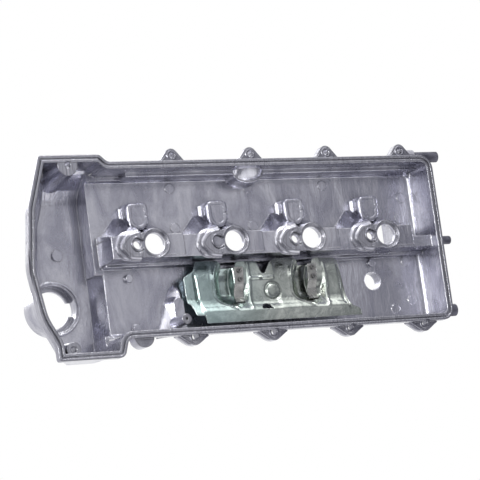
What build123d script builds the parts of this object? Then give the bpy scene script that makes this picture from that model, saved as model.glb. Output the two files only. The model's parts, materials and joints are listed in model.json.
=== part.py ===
"""Die-cast aluminium cam cover of a four-cylinder engine, with its pressed-steel oil baffle.

The cover lies as it does on the engine, gasket face down at z = 0 and its outside up.
X runs along the row of plug wells, from the timing end to the hose end, and +Y is the
filler side.  Sketches are drawn on DATUM, whose origin is the axis of the first plug well
in the gasket plane.
"""
from build123d import *
import math
import os

# ---------------------------------------------------------------- driving dimensions (mm)
PLUG_PITCH = 96.0          # spacing of the plug wells
CYLINDERS = 4
FIRST_PLUG_X = -111.54      # first plug well, from the middle of the footprint
PLUG_LINE_Y = -9.5

# gasket rim, measured from the first plug well
SIDE_A = -88.0             # plain long side
SIDE_B = 102.0             # filler long side
HOSE_END_MARGIN = 67.0     # last plug well to the hose end
TIMING_SIDE_A = -96.0      # the timing end is wider than the rest
TIMING_SIDE_B = 122.0
STEP_A_X = -49.5           # where the rim steps out to the timing end
STEP_B_X = -49.5
TIMING_FAR_X = -153.5      # outermost point of the timing end
TIMING_SPAN = 260.0        # longer than the timing end, for clipping it from the outline
RIM_WIDTH = 7.5
RIM_HEIGHT = 8.5
GROOVE_INSET = 2.7
GROOVE_WIDTH = 2.0
GROOVE_DEPTH = 2.0

# shell
WALL = 4.0
DRAFT = 2.0                # degrees, all cast walls
FLOOR_Z = 42.0             # inner floor of both cam galleries
TIMING_FLOOR_Z = 66.0      # inner floor over the timing gear
TIMING_STEP_X = -58.5      # foot of the step between the two floors
STEP_SLOPE_X = -50.5       # in gallery B the step slopes from here
STEP_SLOPE_FOOT = -60.0
STEP_SLOPE_Y = 26.0
TIMING_LEAN = 28.0         # degrees, the far wall of the timing end leans in above its foot
TIMING_LEAN_Z = 12.0
TIMING_CORNER_Z = 22.0
TIMING_SLOPE_NEAR = -62.5  # the timing end slopes off towards side A, from here
TIMING_SLOPE_FAR = -81.0   # to here
SLOPE_TOE = 3.0
SLOPE_DROP = 12.0          # the slope's foot lies this much below the gallery floor
SLOPE_ROUND = ((8.0, 1.0), (0.0, -3.0), (-8.0, -9.0))  # y from the slope's start, z from the floor
SHELL_CORNER = 12.0
GALLERY_CORNER_A = 8.5
GALLERY_CORNER_B = 6.5
OVERCUT = 1.0              # cuts and roots reach this much past a face
VOID_OVERLAP = 20.0        # how far the gallery's void reaches into the timing end
OUTER_ROUND = 9.0
FLOOR_ROUND = 3.5
LEDGE_Z = 36.0
LEDGE_WIDTH = 4.0

# spine between the galleries, carrying the plug wells
SPINE_Z = 12.0
SPINE_A = -9.0
SPINE_B = 15.0
SPINE_START_X = -50.0
SPINE_DRAFT = 5.0
PAD_Z = 8.0
PAD_STEP = 2.0
PAD_ROUND = 4.5
STUD_Y = 1.2
STUD_SEATS = ((1, -42.0, -32.5), (0, -46.5, -40.0))    # step, x of the tip and of the shoulders
STUD_SEAT_YS = (-13.5, -9.6, 2.8, 14.3, 15.2)
LAND = ((10.0, -10.2), (32.5, -10.2), (35.0, -8.0), (35.0, 12.3), (10.0, 12.3))
LAND_HEIGHT = 1.0
LAND_ROOT = 10.0
GUSSET_TOP = ((-50.0, -8.0), (-30.0, -9.5), (-14.0, -12.0), (-14.0, -6.0))
GUSSET_FOOT = ((-55.0, -8.0), (-31.0, -36.0), (-14.0, -36.0), (-14.0, -6.0))
WELL_RADIUS = 13.0
WELL_SEAT_RADIUS = 14.0
WELL_SEAT_DEPTH = 3.0
PLUG_BORE_RADIUS = 11.7
WELL_PAD_RADIUS = 16.5
VALLEY_FLOOR_Z = 16.5      # outside, bottom of the valley over the spine
VALLEY_END_MARGIN = 17.0
VALLEY_TRIM = 1.0
WELL_LEAN_X = 9.0          # outside, each well opens out towards the hose end and side A
WELL_LEAN_Y = -4.0
WELL_OPEN_RADIUS = 20.0
WELL_BULGE_RADIUS = 22.5
SPINE_LEAN_A = 7.5         # the spine's side A wall leans out this much down to the outer skin
SPINE_LEAN_B = 3.0
SPINE_NARROW_X = 322.0     # the last stretch to the hose end is narrower
SPINE_NARROW_Y = 3.0
SPINE_NARROW_RAMP = 2.0
LEDGE_B_Z = 33.0           # ledge along the foot of the spine in gallery B
LEDGE_B_Y = 20.0
STUD_OFFSET = 21.0         # cover stud, towards the timing end from its plug well
STUD_BORE_RADIUS = 4.9
STUD_SEAT_RADIUS = 8.3
BLIND_STUD = 1             # this stud boss is left undrilled

# cam-cap clearance blocks in gallery A
BLOCK_Z = 24.0
BLOCK_WIDTH = 22.0
BLOCK_CENTRE_X = -9.5
BLOCK_NEAR = -22.0
BLOCK_FAR = -46.5
BLOCK_DRAFT = 4.0
BLOCK_ROUND = 2.5
BLOCK_ARC = 8.0            # where the rounded near end of a block starts
BLOCK_NOSE = 3.0
BLOCK_POCKET_ROUND = 3.0

# bolt ears
EAR_OFFSET = 31.5          # ear, towards the hose end from its plug well
EAR_A_Y = -95.3
EAR_B_Y = 103.5
EAR_TIP_RADIUS_A = 7.7
EAR_TIP_RADIUS_B = 8.8
EAR_BASE_HALF = 15.5
EAR_BASE_ROUND = 2.0
EAR_BASE_DEPTH = 3.0       # how far the base lies inside the rim
EAR_THICKNESS = 9.0
BOLT_RADIUS = 3.4

# filler neck
FILLER_X = -101.5
FILLER_Y = 56.0
FILLER_BORE = 20.6
FILLER_RING = 29.5
FILLER_TUBE = 25.5         # the neck's inside, below its flange
FILLER_RECESS = 27.5
FILLER_FLANGE = 4.0        # thickness of the flange that the cap turns under
NECK_RADIUS = 29.0
NECK_TOP_Z = 79.0
NECK_START_Z = 30.0
BAYONET_SLOT_WIDTH = 15.0

# breather outlet in gallery B
OUTLET_X = 280.5
OUTLET_Y = 46.8
OUTLET_BORE = 10.5
OUTLET_HEIGHT = 14.0

# bosses inside
TIMING_BOLT_A = (-94.0, -86.2)
TIMING_BOLT_B = (-112.0, 110.0)
TIMING_BOSS_RADIUS_A = 11.5
TIMING_BOSS_RADIUS_B = 8.0
TIMING_BOSS_Z = 3.0
TIMING_BOSS_DRAFT = 6.0
BOLT_POCKET_Z = 20.0       # outside, each timing bolt's head sits down a pocket
BOLT_POCKET_RADIUS = 7.0
POST_X = 23.0              # spare baffle post in gallery B
POST_Y = 84.0
POST_Z = 4.0
POST_RADIUS = 5.5
ARCH_X = 27.0
ARCH_NOSE_Y = 57.0
ARCH_SHOULDER_Y = 64.0
ARCH_HALF = 6.05
ARCH_Z = 27.0
ARCH_DRAFT = 18.0
PORT_RADIUS = 6.2
PORT_HEIGHT = 5.0
POST_HOLE_RADIUS = 1.5
POST_HOLE_DEPTH = 14.0
KNOB_RADIUS = 4.4
KNOB_HEIGHT = 4.0
KNOBS = ((-22.2, 31.4), (-20.0, 85.5), (281.0, 26.5))
PIN_MARK_RADIUS = 5.6      # ejector pin marks stand a little proud
PIN_MARK_HEIGHT = 0.8
PIN_MARKS = ((40.9, -66.6), (136.9, -64.5), (232.0, -65.0), (333.6, -48.0), (327.3, -23.7),
             (41.5, -21.9), (137.5, -21.9), (327.0, 26.1), (328.8, 70.9), (305.3, 80.2))
PORT_X = -91.0             # round boss on the timing floor
PORT_Y = -1.4

BLOCK_POCKET = 5.0         # wall left round the pocket cored into each block from outside
SIDE_BUMP_X = 134.5        # half-cone on the side A wall
SIDE_BUMP_Y = -86.0
SIDE_BUMP_Z = 14.0
SIDE_BUMP_RADIUS = 8.0
SIDE_BUMP_DRAFT = 16.0
HOIST_BOSS = (-27.5, 100.0)    # round lug outside side B
HOIST_RADIUS = 11.5
HOIST_HEIGHT = 14.0
FILLER_RING_HEIGHT = 3.0

# hose nipples: (y, z, outer radius, bore radius, x of the seat's face, x of the free end)
NIPPLES = {
    "vacuum_pipe": (-90.4, 22.0, 6.2, 4.4, 343.0, 376.0),
    "return_pipe": (7.6, 20.0, 4.8, 3.2, 355.0, 376.0),
    "breather_pipe": (88.7, 20.0, 7.0, 5.2, 355.0, 370.0),
}
NIPPLE_SEAT = 7.0          # length held in the casting
NIPPLE_SHANK = 0.4         # the held length is this much thicker in radius
NIPPLE_BOSS = 2.6          # wall of the boss round a nipple
NIPPLE_ROUND = 0.6
SIDE_LUG_X = 318.0         # the side A nipple's boss stands outside the wall
SIDE_PASSAGE_X = 328.0     # cross hole from that nipple into gallery A
SIDE_PASSAGE_RADIUS = 3.5

# oil baffle: its engine-side face as (y, z) points, one row for each kind of section
SHEET = 1.2
HUMP = ((19.2, 29.5), (23.0, 28.5), (34.0, 26.8), (45.0, 25.0), (53.0, 24.8), (61.0, 24.2),
        (69.0, 21.5), (74.0, 18.2), (76.5, 17.0), (88.5, 17.0))
BEAD = ((19.2, 28.0), (23.0, 26.6), (34.0, 24.6), (45.0, 22.8), (53.0, 22.4), (61.0, 21.8),
        (69.0, 19.4), (74.0, 17.4), (76.5, 17.0), (88.5, 17.0))
TROUGH = ((29.0, 27.0), (31.0, 30.0), (37.0, 34.5), (45.0, 37.2), (53.0, 37.4), (61.0, 34.4),
          (68.0, 27.0), (74.0, 18.6), (76.5, 17.0), (88.5, 17.0))
SADDLE = ((26.0, 27.0), (31.0, 27.0), (38.0, 27.0), (45.0, 27.0), (53.0, 31.0), (61.0, 30.0),
          (68.0, 24.0), (74.0, 18.4), (76.5, 17.0), (88.5, 17.0))
WEB = ((19.2, 27.0), (23.0, 26.5), (34.0, 25.4), (45.0, 25.0), (53.0, 25.0), (61.0, 25.0),
       (67.0, 24.6), (74.0, 18.4), (76.5, 17.0), (88.5, 17.0))
BAFFLE_STATIONS = (
    (36.0, WEB), (43.0, WEB), (45.0, HUMP), (75.0, HUMP), (77.5, BEAD), (81.0, TROUGH), (92.0, TROUGH),
    (95.0, SADDLE), (110.5, SADDLE), (112.5, HUMP), (117.0, HUMP), (120.0, WEB), (147.0, WEB),
    (149.0, HUMP), (167.0, HUMP), (169.5, BEAD), (173.0, TROUGH), (183.5, TROUGH), (186.5, SADDLE),
    (202.0, SADDLE), (204.0, HUMP), (208.0, HUMP), (211.0, BEAD), (223.0, HUMP), (226.0, WEB), (246.0, WEB),
)
BAFFLE_CUTS = (            # outlines cut away from the lofted sheet
    ((34.0, 10.0), (53.0, 10.0), (51.0, 19.5), (43.5, 34.0), (34.0, 36.0)),
    ((34.0, 64.0), (42.0, 69.5), (40.5, 80.0), (52.7, 79.0), (55.0, 90.0), (34.0, 90.0)),
    ((127.0, 15.0), (141.0, 15.0), (139.0, 24.0), (133.0, 35.5), (130.0, 35.5), (125.0, 25.0)),
    ((228.0, 15.0), (250.0, 15.0), (250.0, 84.0), (243.0, 80.5), (236.0, 79.5), (230.0, 74.0), (227.5, 66.0),
     (230.5, 40.0), (231.5, 24.0)),
)
BAFFLE_HOLE = (129.8, 76.5, 6.5)       # half-round drain hole at the foot of the web
DOME = (139.0, 55.0, 9.0, 3.0)         # pressed dome: x, y, radius, height
RIB_Y = 39.5                           # pressed rib across the web
RIB_START = 116.0
RIB_END = 143.0
RIB_RADIUS = 1.5
STRAP_CENTRES = (104.0, 195.5)
STRAP_LEAN = 3.0           # the foot of a strap is this much nearer the timing end
STRAP_WIDTH = 11.0
STRAP_START_Y = 26.5
STRAP_END_Y = 66.0
STRAP_SHEET = 1.5
SCREW_YS = (30.6, 40.4)
SCREW_HEAD_RADIUS = 2.6
SCREW_HEAD_HEIGHT = 1.9
SCREW_RADIUS = 1.7
SCREW_LENGTH = 11.0
SCREW_CLEARANCE = 0.2
SCREW_RECESS = (3.2, 0.8, 1.1)         # cross recess: length, width, depth
BAFFLE_POST_WIDTH = 9.0
BAFFLE_POST_ENDS = (26.5, 44.5)

DATUM = Plane(origin=(FIRST_PLUG_X, PLUG_LINE_Y, 0), x_dir=(1, 0, 0), z_dir=(0, 0, 1))
PLUG_STATIONS = [i * PLUG_PITCH for i in range(CYLINDERS)]
HOSE_END_X = PLUG_STATIONS[-1] + HOSE_END_MARGIN
OUTER_Z = FLOOR_Z + WALL
TIMING_OUTER_Z = TIMING_FLOOR_Z + WALL


def at(z):
    """Sketch plane at height z, with its origin on the first plug well's axis."""
    return DATUM.offset(z)


def section(x):
    """Sketch plane square to X at station x, with Y across and Z up."""
    return Plane(origin=(FIRST_PLUG_X + x, PLUG_LINE_Y, 0), x_dir=(0, 1, 0), z_dir=(1, 0, 0))


RIM_CORNERS = [            # corner, fillet radius
    ((HOSE_END_X, SIDE_A), 16.0),
    ((STEP_A_X, SIDE_A), 9.0),
    ((STEP_A_X - 8.5, TIMING_SIDE_A), 7.0),
    ((TIMING_FAR_X + 26.0, TIMING_SIDE_A), 4.0),
    ((TIMING_FAR_X + 8.0, -41.0), 45.0),
    ((TIMING_FAR_X, 25.0), 60.0),
    ((TIMING_FAR_X + 8.5, 78.0), 55.0),
    ((TIMING_FAR_X + 22.5, 105.0), 14.0),
    ((TIMING_FAR_X + 23.0, TIMING_SIDE_B), 3.0),
    ((STEP_B_X - 6.5, TIMING_SIDE_B), 8.0),
    ((STEP_B_X, SIDE_B), 8.0),
    ((HOSE_END_X, SIDE_B), 14.0),
]

with BuildSketch() as rim:
    with BuildLine():
        FilletPolyline(*[point for point, _ in RIM_CORNERS], radius=[r for _, r in RIM_CORNERS],
                       close=True)
    make_face()


with BuildSketch() as rim_groove_core:
    add(rim.sketch)
    offset(amount=-GROOVE_INSET - GROOVE_WIDTH, kind=Kind.ARC)


def rounded_rectangle(x0, x1, y0, y1, radius):
    """Draw a rounded rectangle between two x and two y values in the current sketch."""
    with Locations(((x0 + x1) / 2, (y0 + y1) / 2)):
        RectangleRounded(x1 - x0, y1 - y0, radius)


# ---------------------------------------------------------------- casting, outer forms
RIM_INSET = RIM_WIDTH - WALL

with BuildPart() as gallery_shell:
    with BuildSketch(at(0)):
        rounded_rectangle(TIMING_STEP_X - WALL, HOSE_END_X - RIM_INSET,
                          SIDE_A + RIM_INSET, SIDE_B - RIM_INSET, SHELL_CORNER)
    extrude(amount=OUTER_Z, taper=DRAFT)
    fillet(gallery_shell.faces().sort_by(Axis.Z)[-1].edges(), OUTER_ROUND)


def lean_planes(inset):
    """Return the planes that the far wall of the timing end leans along, inset from the rim."""
    corners = [point for point, _ in RIM_CORNERS[3:8]]
    heights = (TIMING_LEAN_Z, TIMING_LEAN_Z, TIMING_LEAN_Z, TIMING_CORNER_Z)
    lean = math.radians(TIMING_LEAN)
    planes = []
    for (x0, y0), (x1, y1), z in zip(corners[:-1], corners[1:], heights):
        length = math.hypot(x1 - x0, y1 - y0)
        out_x = -(y1 - y0) / length
        out_y = (x1 - x0) / length
        planes.append(Plane(
            origin=(FIRST_PLUG_X + x0 - out_x * inset, PLUG_LINE_Y + y0 - out_y * inset, z),
            x_dir=(x1 - x0, y1 - y0, 0),
            z_dir=(out_x * math.cos(lean), out_y * math.cos(lean), math.sin(lean))))
    return planes


def slope_face(y, foot_x, top_x, z0, z1):
    """Return the section of the step between the floors, in gallery B, at y."""
    corners = ((foot_x - 2 * WALL, FLOOR_Z - WALL), (top_x, FLOOR_Z - WALL), (top_x, z0), (foot_x, z1),
               (foot_x - 2 * WALL, z1))
    return Face(Wire.make_polygon([DATUM.from_local_coords((x, y, z)) for x, z in corners]))


with BuildPart() as timing_shell:
    with BuildSketch(at(0)):
        add(rim.sketch)
        offset(amount=-RIM_INSET, kind=Kind.ARC)
        with Locations((TIMING_STEP_X + WALL, 0)):
            Rectangle(TIMING_SPAN, 2 * TIMING_SPAN, align=(Align.MAX, Align.CENTER), mode=Mode.INTERSECT)
    extrude(amount=TIMING_OUTER_Z, taper=DRAFT)
    with BuildSketch(section(0)):
        with BuildLine():
            Polyline((TIMING_SLOPE_NEAR, TIMING_OUTER_Z + OVERCUT), (TIMING_SLOPE_FAR - WALL, FLOOR_Z),
                     (TIMING_SIDE_A, FLOOR_Z - SLOPE_DROP),
                     (TIMING_SIDE_A - 2.5 * WALL, TIMING_OUTER_Z + OVERCUT), close=True)
        make_face()
    extrude(amount=TIMING_SPAN, both=True, mode=Mode.SUBTRACT)
    with Locations(*lean_planes(RIM_INSET)):
        Box(2 * TIMING_SPAN, 2 * TIMING_SPAN, TIMING_SPAN, align=(Align.CENTER, Align.CENTER, Align.MIN),
            mode=Mode.SUBTRACT)
    extrude(slope_face(SIDE_B - WALL - DRAFT, STEP_SLOPE_FOOT + WALL, STEP_SLOPE_X + WALL, OUTER_Z,
                       TIMING_OUTER_Z),
            amount=SIDE_B - DRAFT - STEP_SLOPE_Y, dir=(0, -1, 0))

# ---------------------------------------------------------------- casting, inner forms
with BuildPart() as rim_void:
    with BuildSketch(at(0)):
        add(rim.sketch)
        offset(amount=-RIM_WIDTH, kind=Kind.ARC)
        with Locations((TIMING_STEP_X - WALL, 0)):
            Rectangle(2 * TIMING_SPAN, 2 * TIMING_SPAN, align=(Align.MIN, Align.CENTER), mode=Mode.INTERSECT)
    extrude(amount=LEDGE_Z, taper=DRAFT)

GALLERY_CORNERS = [        # the void starts inside the timing end, so only its hose end is rounded
    ((TIMING_STEP_X - VOID_OVERLAP, SIDE_A + RIM_WIDTH + LEDGE_WIDTH), 0.0),
    ((HOSE_END_X - RIM_WIDTH, SIDE_A + RIM_WIDTH + LEDGE_WIDTH), GALLERY_CORNER_A),
    ((HOSE_END_X - RIM_WIDTH, SIDE_B - RIM_WIDTH), GALLERY_CORNER_B),
    ((TIMING_STEP_X - VOID_OVERLAP, SIDE_B - RIM_WIDTH), 0.0),
]

with BuildPart() as gallery_void:
    with BuildSketch(at(0)):
        with BuildLine():
            FilletPolyline(*[point for point, _ in GALLERY_CORNERS],
                           radius=[r for _, r in GALLERY_CORNERS], close=True)
        make_face()
    extrude(amount=FLOOR_Z, taper=DRAFT)
    fillet(gallery_void.faces().sort_by(Axis.Z)[-1].edges(), FLOOR_ROUND)

with BuildPart() as timing_void:
    with BuildSketch(at(0)):
        add(rim.sketch)
        offset(amount=-RIM_WIDTH, kind=Kind.ARC)
        with Locations((TIMING_STEP_X, 0)):
            Rectangle(TIMING_SPAN, 2 * TIMING_SPAN, align=(Align.MAX, Align.CENTER), mode=Mode.INTERSECT)
    extrude(amount=TIMING_FLOOR_Z, taper=DRAFT)
    with BuildSketch(section(0)):
        with BuildLine():
            Polyline(*[(TIMING_SLOPE_NEAR + dy, TIMING_FLOOR_Z + dz) for dy, dz in SLOPE_ROUND],
                     (TIMING_SLOPE_FAR - SLOPE_TOE, FLOOR_Z - WALL), (TIMING_SIDE_A, FLOOR_Z - SLOPE_DROP),
                     (TIMING_SIDE_A - 2.5 * WALL, TIMING_FLOOR_Z + OVERCUT), close=True)
        make_face()
    extrude(amount=TIMING_SPAN, both=True, mode=Mode.SUBTRACT)
    with Locations(*lean_planes(RIM_WIDTH)):
        Box(2 * TIMING_SPAN, 2 * TIMING_SPAN, TIMING_SPAN, align=(Align.CENTER, Align.CENTER, Align.MIN),
            mode=Mode.SUBTRACT)
    extrude(slope_face(SIDE_B - RIM_WIDTH, STEP_SLOPE_FOOT, STEP_SLOPE_X, FLOOR_Z, TIMING_FLOOR_Z),
            amount=SIDE_B - RIM_WIDTH - STEP_SLOPE_Y, dir=(0, -1, 0))

# ---------------------------------------------------------------- spine and plug wells
def spine_outline(z, lean_a, lean_b, lean_start):
    """Return the spine's outline at height z as a face."""
    end_x = HOSE_END_X - WALL
    corners = ((SPINE_START_X - lean_start, SPINE_A - lean_a), (SPINE_NARROW_X, SPINE_A - lean_a),
               (SPINE_NARROW_X + SPINE_NARROW_RAMP, SPINE_NARROW_Y - lean_a),
               (end_x, SPINE_NARROW_Y - lean_a),
               (end_x, SPINE_B + lean_b), (SPINE_START_X - lean_start, SPINE_B + lean_b))
    return Face(Wire.make_polygon([at(z).from_local_coords((x, y, 0)) for x, y in corners]))


with BuildPart() as spine:
    loft([spine_outline(SPINE_Z, 0, 0, 0),
          spine_outline(OUTER_Z, SPINE_LEAN_A, SPINE_LEAN_B, WALL)], ruled=True)
    # ledge along its foot in gallery B
    with BuildSketch(at(LEDGE_B_Z)):
        with Locations(((SPINE_START_X + HOSE_END_X - WALL) / 2, SPINE_B)):
            Rectangle(HOSE_END_X - WALL - SPINE_START_X, 2 * (LEDGE_B_Y - SPINE_B))
    extrude(amount=OUTER_Z - LEDGE_B_Z, taper=-SPINE_DRAFT)
    # the tube round each plug well, opening out towards the floor
    for x in PLUG_STATIONS:
        with BuildSketch(at(SPINE_Z)):
            with Locations((x, 0)):
                Circle(WELL_PAD_RADIUS)
        with BuildSketch(at(FLOOR_Z + OVERCUT)):
            with Locations((x + WELL_LEAN_X, WELL_LEAN_Y)):
                Circle(WELL_BULGE_RADIUS)
        loft()
    # raised seats: a hexagon round the stud, in two steps, and the ring of the plug well
    near_y, low_y, tip_y, high_y, far_y = STUD_SEAT_YS
    for step, tip_x, shoulder_x in STUD_SEATS:
        seat_z = PAD_Z + (1 - step) * PAD_STEP
        with BuildSketch(at(seat_z)):
            for x in PLUG_STATIONS:
                with BuildLine():
                    FilletPolyline((x, near_y), (x + shoulder_x, low_y), (x + tip_x, tip_y),
                                   (x + shoulder_x, high_y), (x, far_y), radius=PAD_ROUND, close=True)
                make_face()
        extrude(amount=SPINE_Z - seat_z)
    with BuildSketch(at(PAD_Z)):
        with Locations(*[(x, 0) for x in PLUG_STATIONS]):
            Circle(WELL_PAD_RADIUS)
    extrude(amount=SPINE_Z - PAD_Z)
    # low rectangular land after each well
    with BuildSketch(at(SPINE_Z - LAND_HEIGHT)):
        for x in PLUG_STATIONS:
            with BuildLine():
                Polyline(*[(x + dx, y) for dx, y in LAND], close=True)
            make_face()
    extrude(amount=LAND_ROOT)

# clearance blocks for the cam caps, with a gusset down to the spine
with BuildPart() as blocks:
    for x in PLUG_STATIONS:
        with BuildSketch(at(BLOCK_Z)):
            with BuildLine():
                Polyline((x + BLOCK_CENTRE_X - BLOCK_WIDTH / 2, BLOCK_NEAR - BLOCK_ARC),
                         (x + BLOCK_CENTRE_X - BLOCK_WIDTH / 2, BLOCK_FAR),
                         (x + BLOCK_CENTRE_X + BLOCK_WIDTH / 2, BLOCK_FAR),
                         (x + BLOCK_CENTRE_X + BLOCK_WIDTH / 2, BLOCK_NEAR - BLOCK_ARC))
                ThreePointArc((x + BLOCK_CENTRE_X + BLOCK_WIDTH / 2, BLOCK_NEAR - BLOCK_ARC),
                              (x + BLOCK_CENTRE_X, BLOCK_NEAR + BLOCK_NOSE),
                              (x + BLOCK_CENTRE_X - BLOCK_WIDTH / 2, BLOCK_NEAR - BLOCK_ARC))
            make_face()
        extrude(amount=OUTER_Z - BLOCK_Z, taper=-BLOCK_DRAFT)
    fillet(blocks.faces().filter_by(Axis.Z).group_by(Axis.Z)[0].edges(), BLOCK_ROUND)
    for x in PLUG_STATIONS:
        with BuildSketch(at(SPINE_Z)):
            with BuildLine():
                Polyline(*[(x + dx, y) for dx, y in GUSSET_TOP], close=True)
            make_face()
        with BuildSketch(at(FLOOR_Z + OVERCUT)):
            with BuildLine():
                Polyline(*[(x + dx, y) for dx, y in GUSSET_FOOT], close=True)
            make_face()
        loft()

# ---------------------------------------------------------------- bolt ears
def ear_profile(side_y, hole_y, tip_radius):
    """Draw one ear per plug well: a rounded triangle with its base inside the rim."""
    inward = 1 if hole_y < side_y else -1
    for x in PLUG_STATIONS:
        base_y = side_y + inward * EAR_BASE_DEPTH
        discs = [(x + EAR_OFFSET, hole_y, tip_radius),
                 (x + EAR_OFFSET - EAR_BASE_HALF, base_y, EAR_BASE_ROUND),
                 (x + EAR_OFFSET + EAR_BASE_HALF, base_y, EAR_BASE_ROUND)]
        with BuildSketch(mode=Mode.PRIVATE) as ear:
            for cx, cy, radius in discs:
                with Locations((cx, cy)):
                    Circle(radius)
            make_hull()
        add(ear.sketch)


with BuildPart() as ears:
    with BuildSketch(at(RIM_HEIGHT)):
        ear_profile(SIDE_A, EAR_A_Y, EAR_TIP_RADIUS_A)
        ear_profile(SIDE_B, EAR_B_Y, EAR_TIP_RADIUS_B)
    extrude(amount=EAR_THICKNESS)

EAR_HOLES = [(x + EAR_OFFSET, y) for x in PLUG_STATIONS for y in (EAR_A_Y, EAR_B_Y)]

# ---------------------------------------------------------------- bosses inside
with BuildPart() as bosses:
    # bolt bosses of the timing end, from the outer wall down to the gasket
    with BuildSketch(at(TIMING_BOSS_Z)):
        with Locations(TIMING_BOLT_A):
            Circle(TIMING_BOSS_RADIUS_A)
        with Locations(TIMING_BOLT_B):
            Circle(TIMING_BOSS_RADIUS_B)
    extrude(amount=TIMING_FLOOR_Z + OVERCUT - TIMING_BOSS_Z, taper=-TIMING_BOSS_DRAFT)
    # spare post, knobs and pin marks
    with BuildSketch(at(POST_Z)):
        with Locations((POST_X, POST_Y)):
            Circle(POST_RADIUS)
    extrude(amount=FLOOR_Z + OVERCUT - POST_Z, taper=-DRAFT)
    with Locations(*[(FIRST_PLUG_X + x, PLUG_LINE_Y + y, FLOOR_Z + (OVERCUT - KNOB_HEIGHT) / 2)
                     for x, y in KNOBS]):
        Cylinder(KNOB_RADIUS, KNOB_HEIGHT + OVERCUT)
    with Locations(*[(FIRST_PLUG_X + x, PLUG_LINE_Y + y, FLOOR_Z) for x, y in PIN_MARKS]):
        Cylinder(PIN_MARK_RADIUS, 2 * PIN_MARK_HEIGHT)
    with Locations((FIRST_PLUG_X + PORT_X, PLUG_LINE_Y + PORT_Y, TIMING_FLOOR_Z)):
        Cylinder(PORT_RADIUS, PORT_HEIGHT)
    # arched boss against the side B wall
    with BuildSketch(at(ARCH_Z)):
        with BuildLine():
            Polyline((ARCH_X - ARCH_HALF, SIDE_B - WALL), (ARCH_X - ARCH_HALF, ARCH_SHOULDER_Y))
            ThreePointArc((ARCH_X - ARCH_HALF, ARCH_SHOULDER_Y), (ARCH_X, ARCH_NOSE_Y),
                          (ARCH_X + ARCH_HALF, ARCH_SHOULDER_Y))
            Polyline((ARCH_X + ARCH_HALF, ARCH_SHOULDER_Y), (ARCH_X + ARCH_HALF, SIDE_B - WALL),
                     (ARCH_X - ARCH_HALF, SIDE_B - WALL))
        make_face()
    extrude(amount=FLOOR_Z + OVERCUT - ARCH_Z, taper=-ARCH_DRAFT)
    # half-cone on the side A wall
    with BuildSketch(at(SIDE_BUMP_Z)):
        with Locations((SIDE_BUMP_X, SIDE_BUMP_Y)):
            Circle(SIDE_BUMP_RADIUS)
    extrude(amount=FLOOR_Z + OVERCUT - SIDE_BUMP_Z, taper=-SIDE_BUMP_DRAFT)
    # ring round the filler bore
    with BuildSketch(at(TIMING_FLOOR_Z - FILLER_RING_HEIGHT)):
        with Locations((FILLER_X, FILLER_Y)):
            Circle(FILLER_RING)
    extrude(amount=FILLER_RING_HEIGHT + OVERCUT, taper=-SPINE_DRAFT)
    # posts that seat the baffle
    with BuildSketch(at(SADDLE[0][1] + SHEET)):
        for x in STRAP_CENTRES:
            with Locations((x, sum(BAFFLE_POST_ENDS) / 2)):
                SlotOverall(BAFFLE_POST_ENDS[1] - BAFFLE_POST_ENDS[0], BAFFLE_POST_WIDTH, rotation=90)
    extrude(amount=FLOOR_Z + OVERCUT - SADDLE[0][1] - SHEET, taper=-DRAFT)

with BuildPart() as inner_forms:
    add(spine.part)
    add(blocks.part)
    add(bosses.part)
    # nothing inside stands out through the outer skin
    with BuildPart(mode=Mode.PRIVATE) as skin:
        add(gallery_shell.part)
        add(timing_shell.part)
    add(skin.part, mode=Mode.INTERSECT)

# ---------------------------------------------------------------- valley outside, over the spine
VALLEY_X0 = SPINE_START_X + 2 * WALL
VALLEY_X1 = PLUG_STATIONS[-1] + VALLEY_END_MARGIN


def valley_outline(z, lean_a, lean_b):
    """Return the valley's outline at height z as a face."""
    side_a = SPINE_A + WALL - VALLEY_TRIM - lean_a
    corners = ((VALLEY_X0, side_a), (VALLEY_X1, side_a),
               (VALLEY_X1, SPINE_B - WALL + lean_b), (VALLEY_X0, SPINE_B - WALL + lean_b))
    return Face(Wire.make_polygon([at(z).from_local_coords((x, y, 0)) for x, y in corners]))


with BuildPart() as valley:
    # a round well over each plug bore, open towards the outside
    for x in PLUG_STATIONS:
        with BuildSketch(at(VALLEY_FLOOR_Z)):
            with Locations((x, 0)):
                Circle(WELL_RADIUS)
        with BuildSketch(at(OUTER_Z + OVERCUT)):
            with Locations((x + WELL_LEAN_X, WELL_LEAN_Y)):
                Circle(WELL_OPEN_RADIUS)
        loft()
    with BuildSketch(at(0)):
        with Locations((VALLEY_X1, 0)):
            Rectangle(VALLEY_X1 - VALLEY_X0 + TIMING_SPAN, TIMING_SPAN, align=(Align.MAX, Align.CENTER))
    extrude(amount=TIMING_OUTER_Z, mode=Mode.INTERSECT)
    loft([valley_outline(VALLEY_FLOOR_Z, 0, 0),
          valley_outline(OUTER_Z + OVERCUT, SPINE_LEAN_A - VALLEY_TRIM, SPINE_LEAN_B)], ruled=True)

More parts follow.
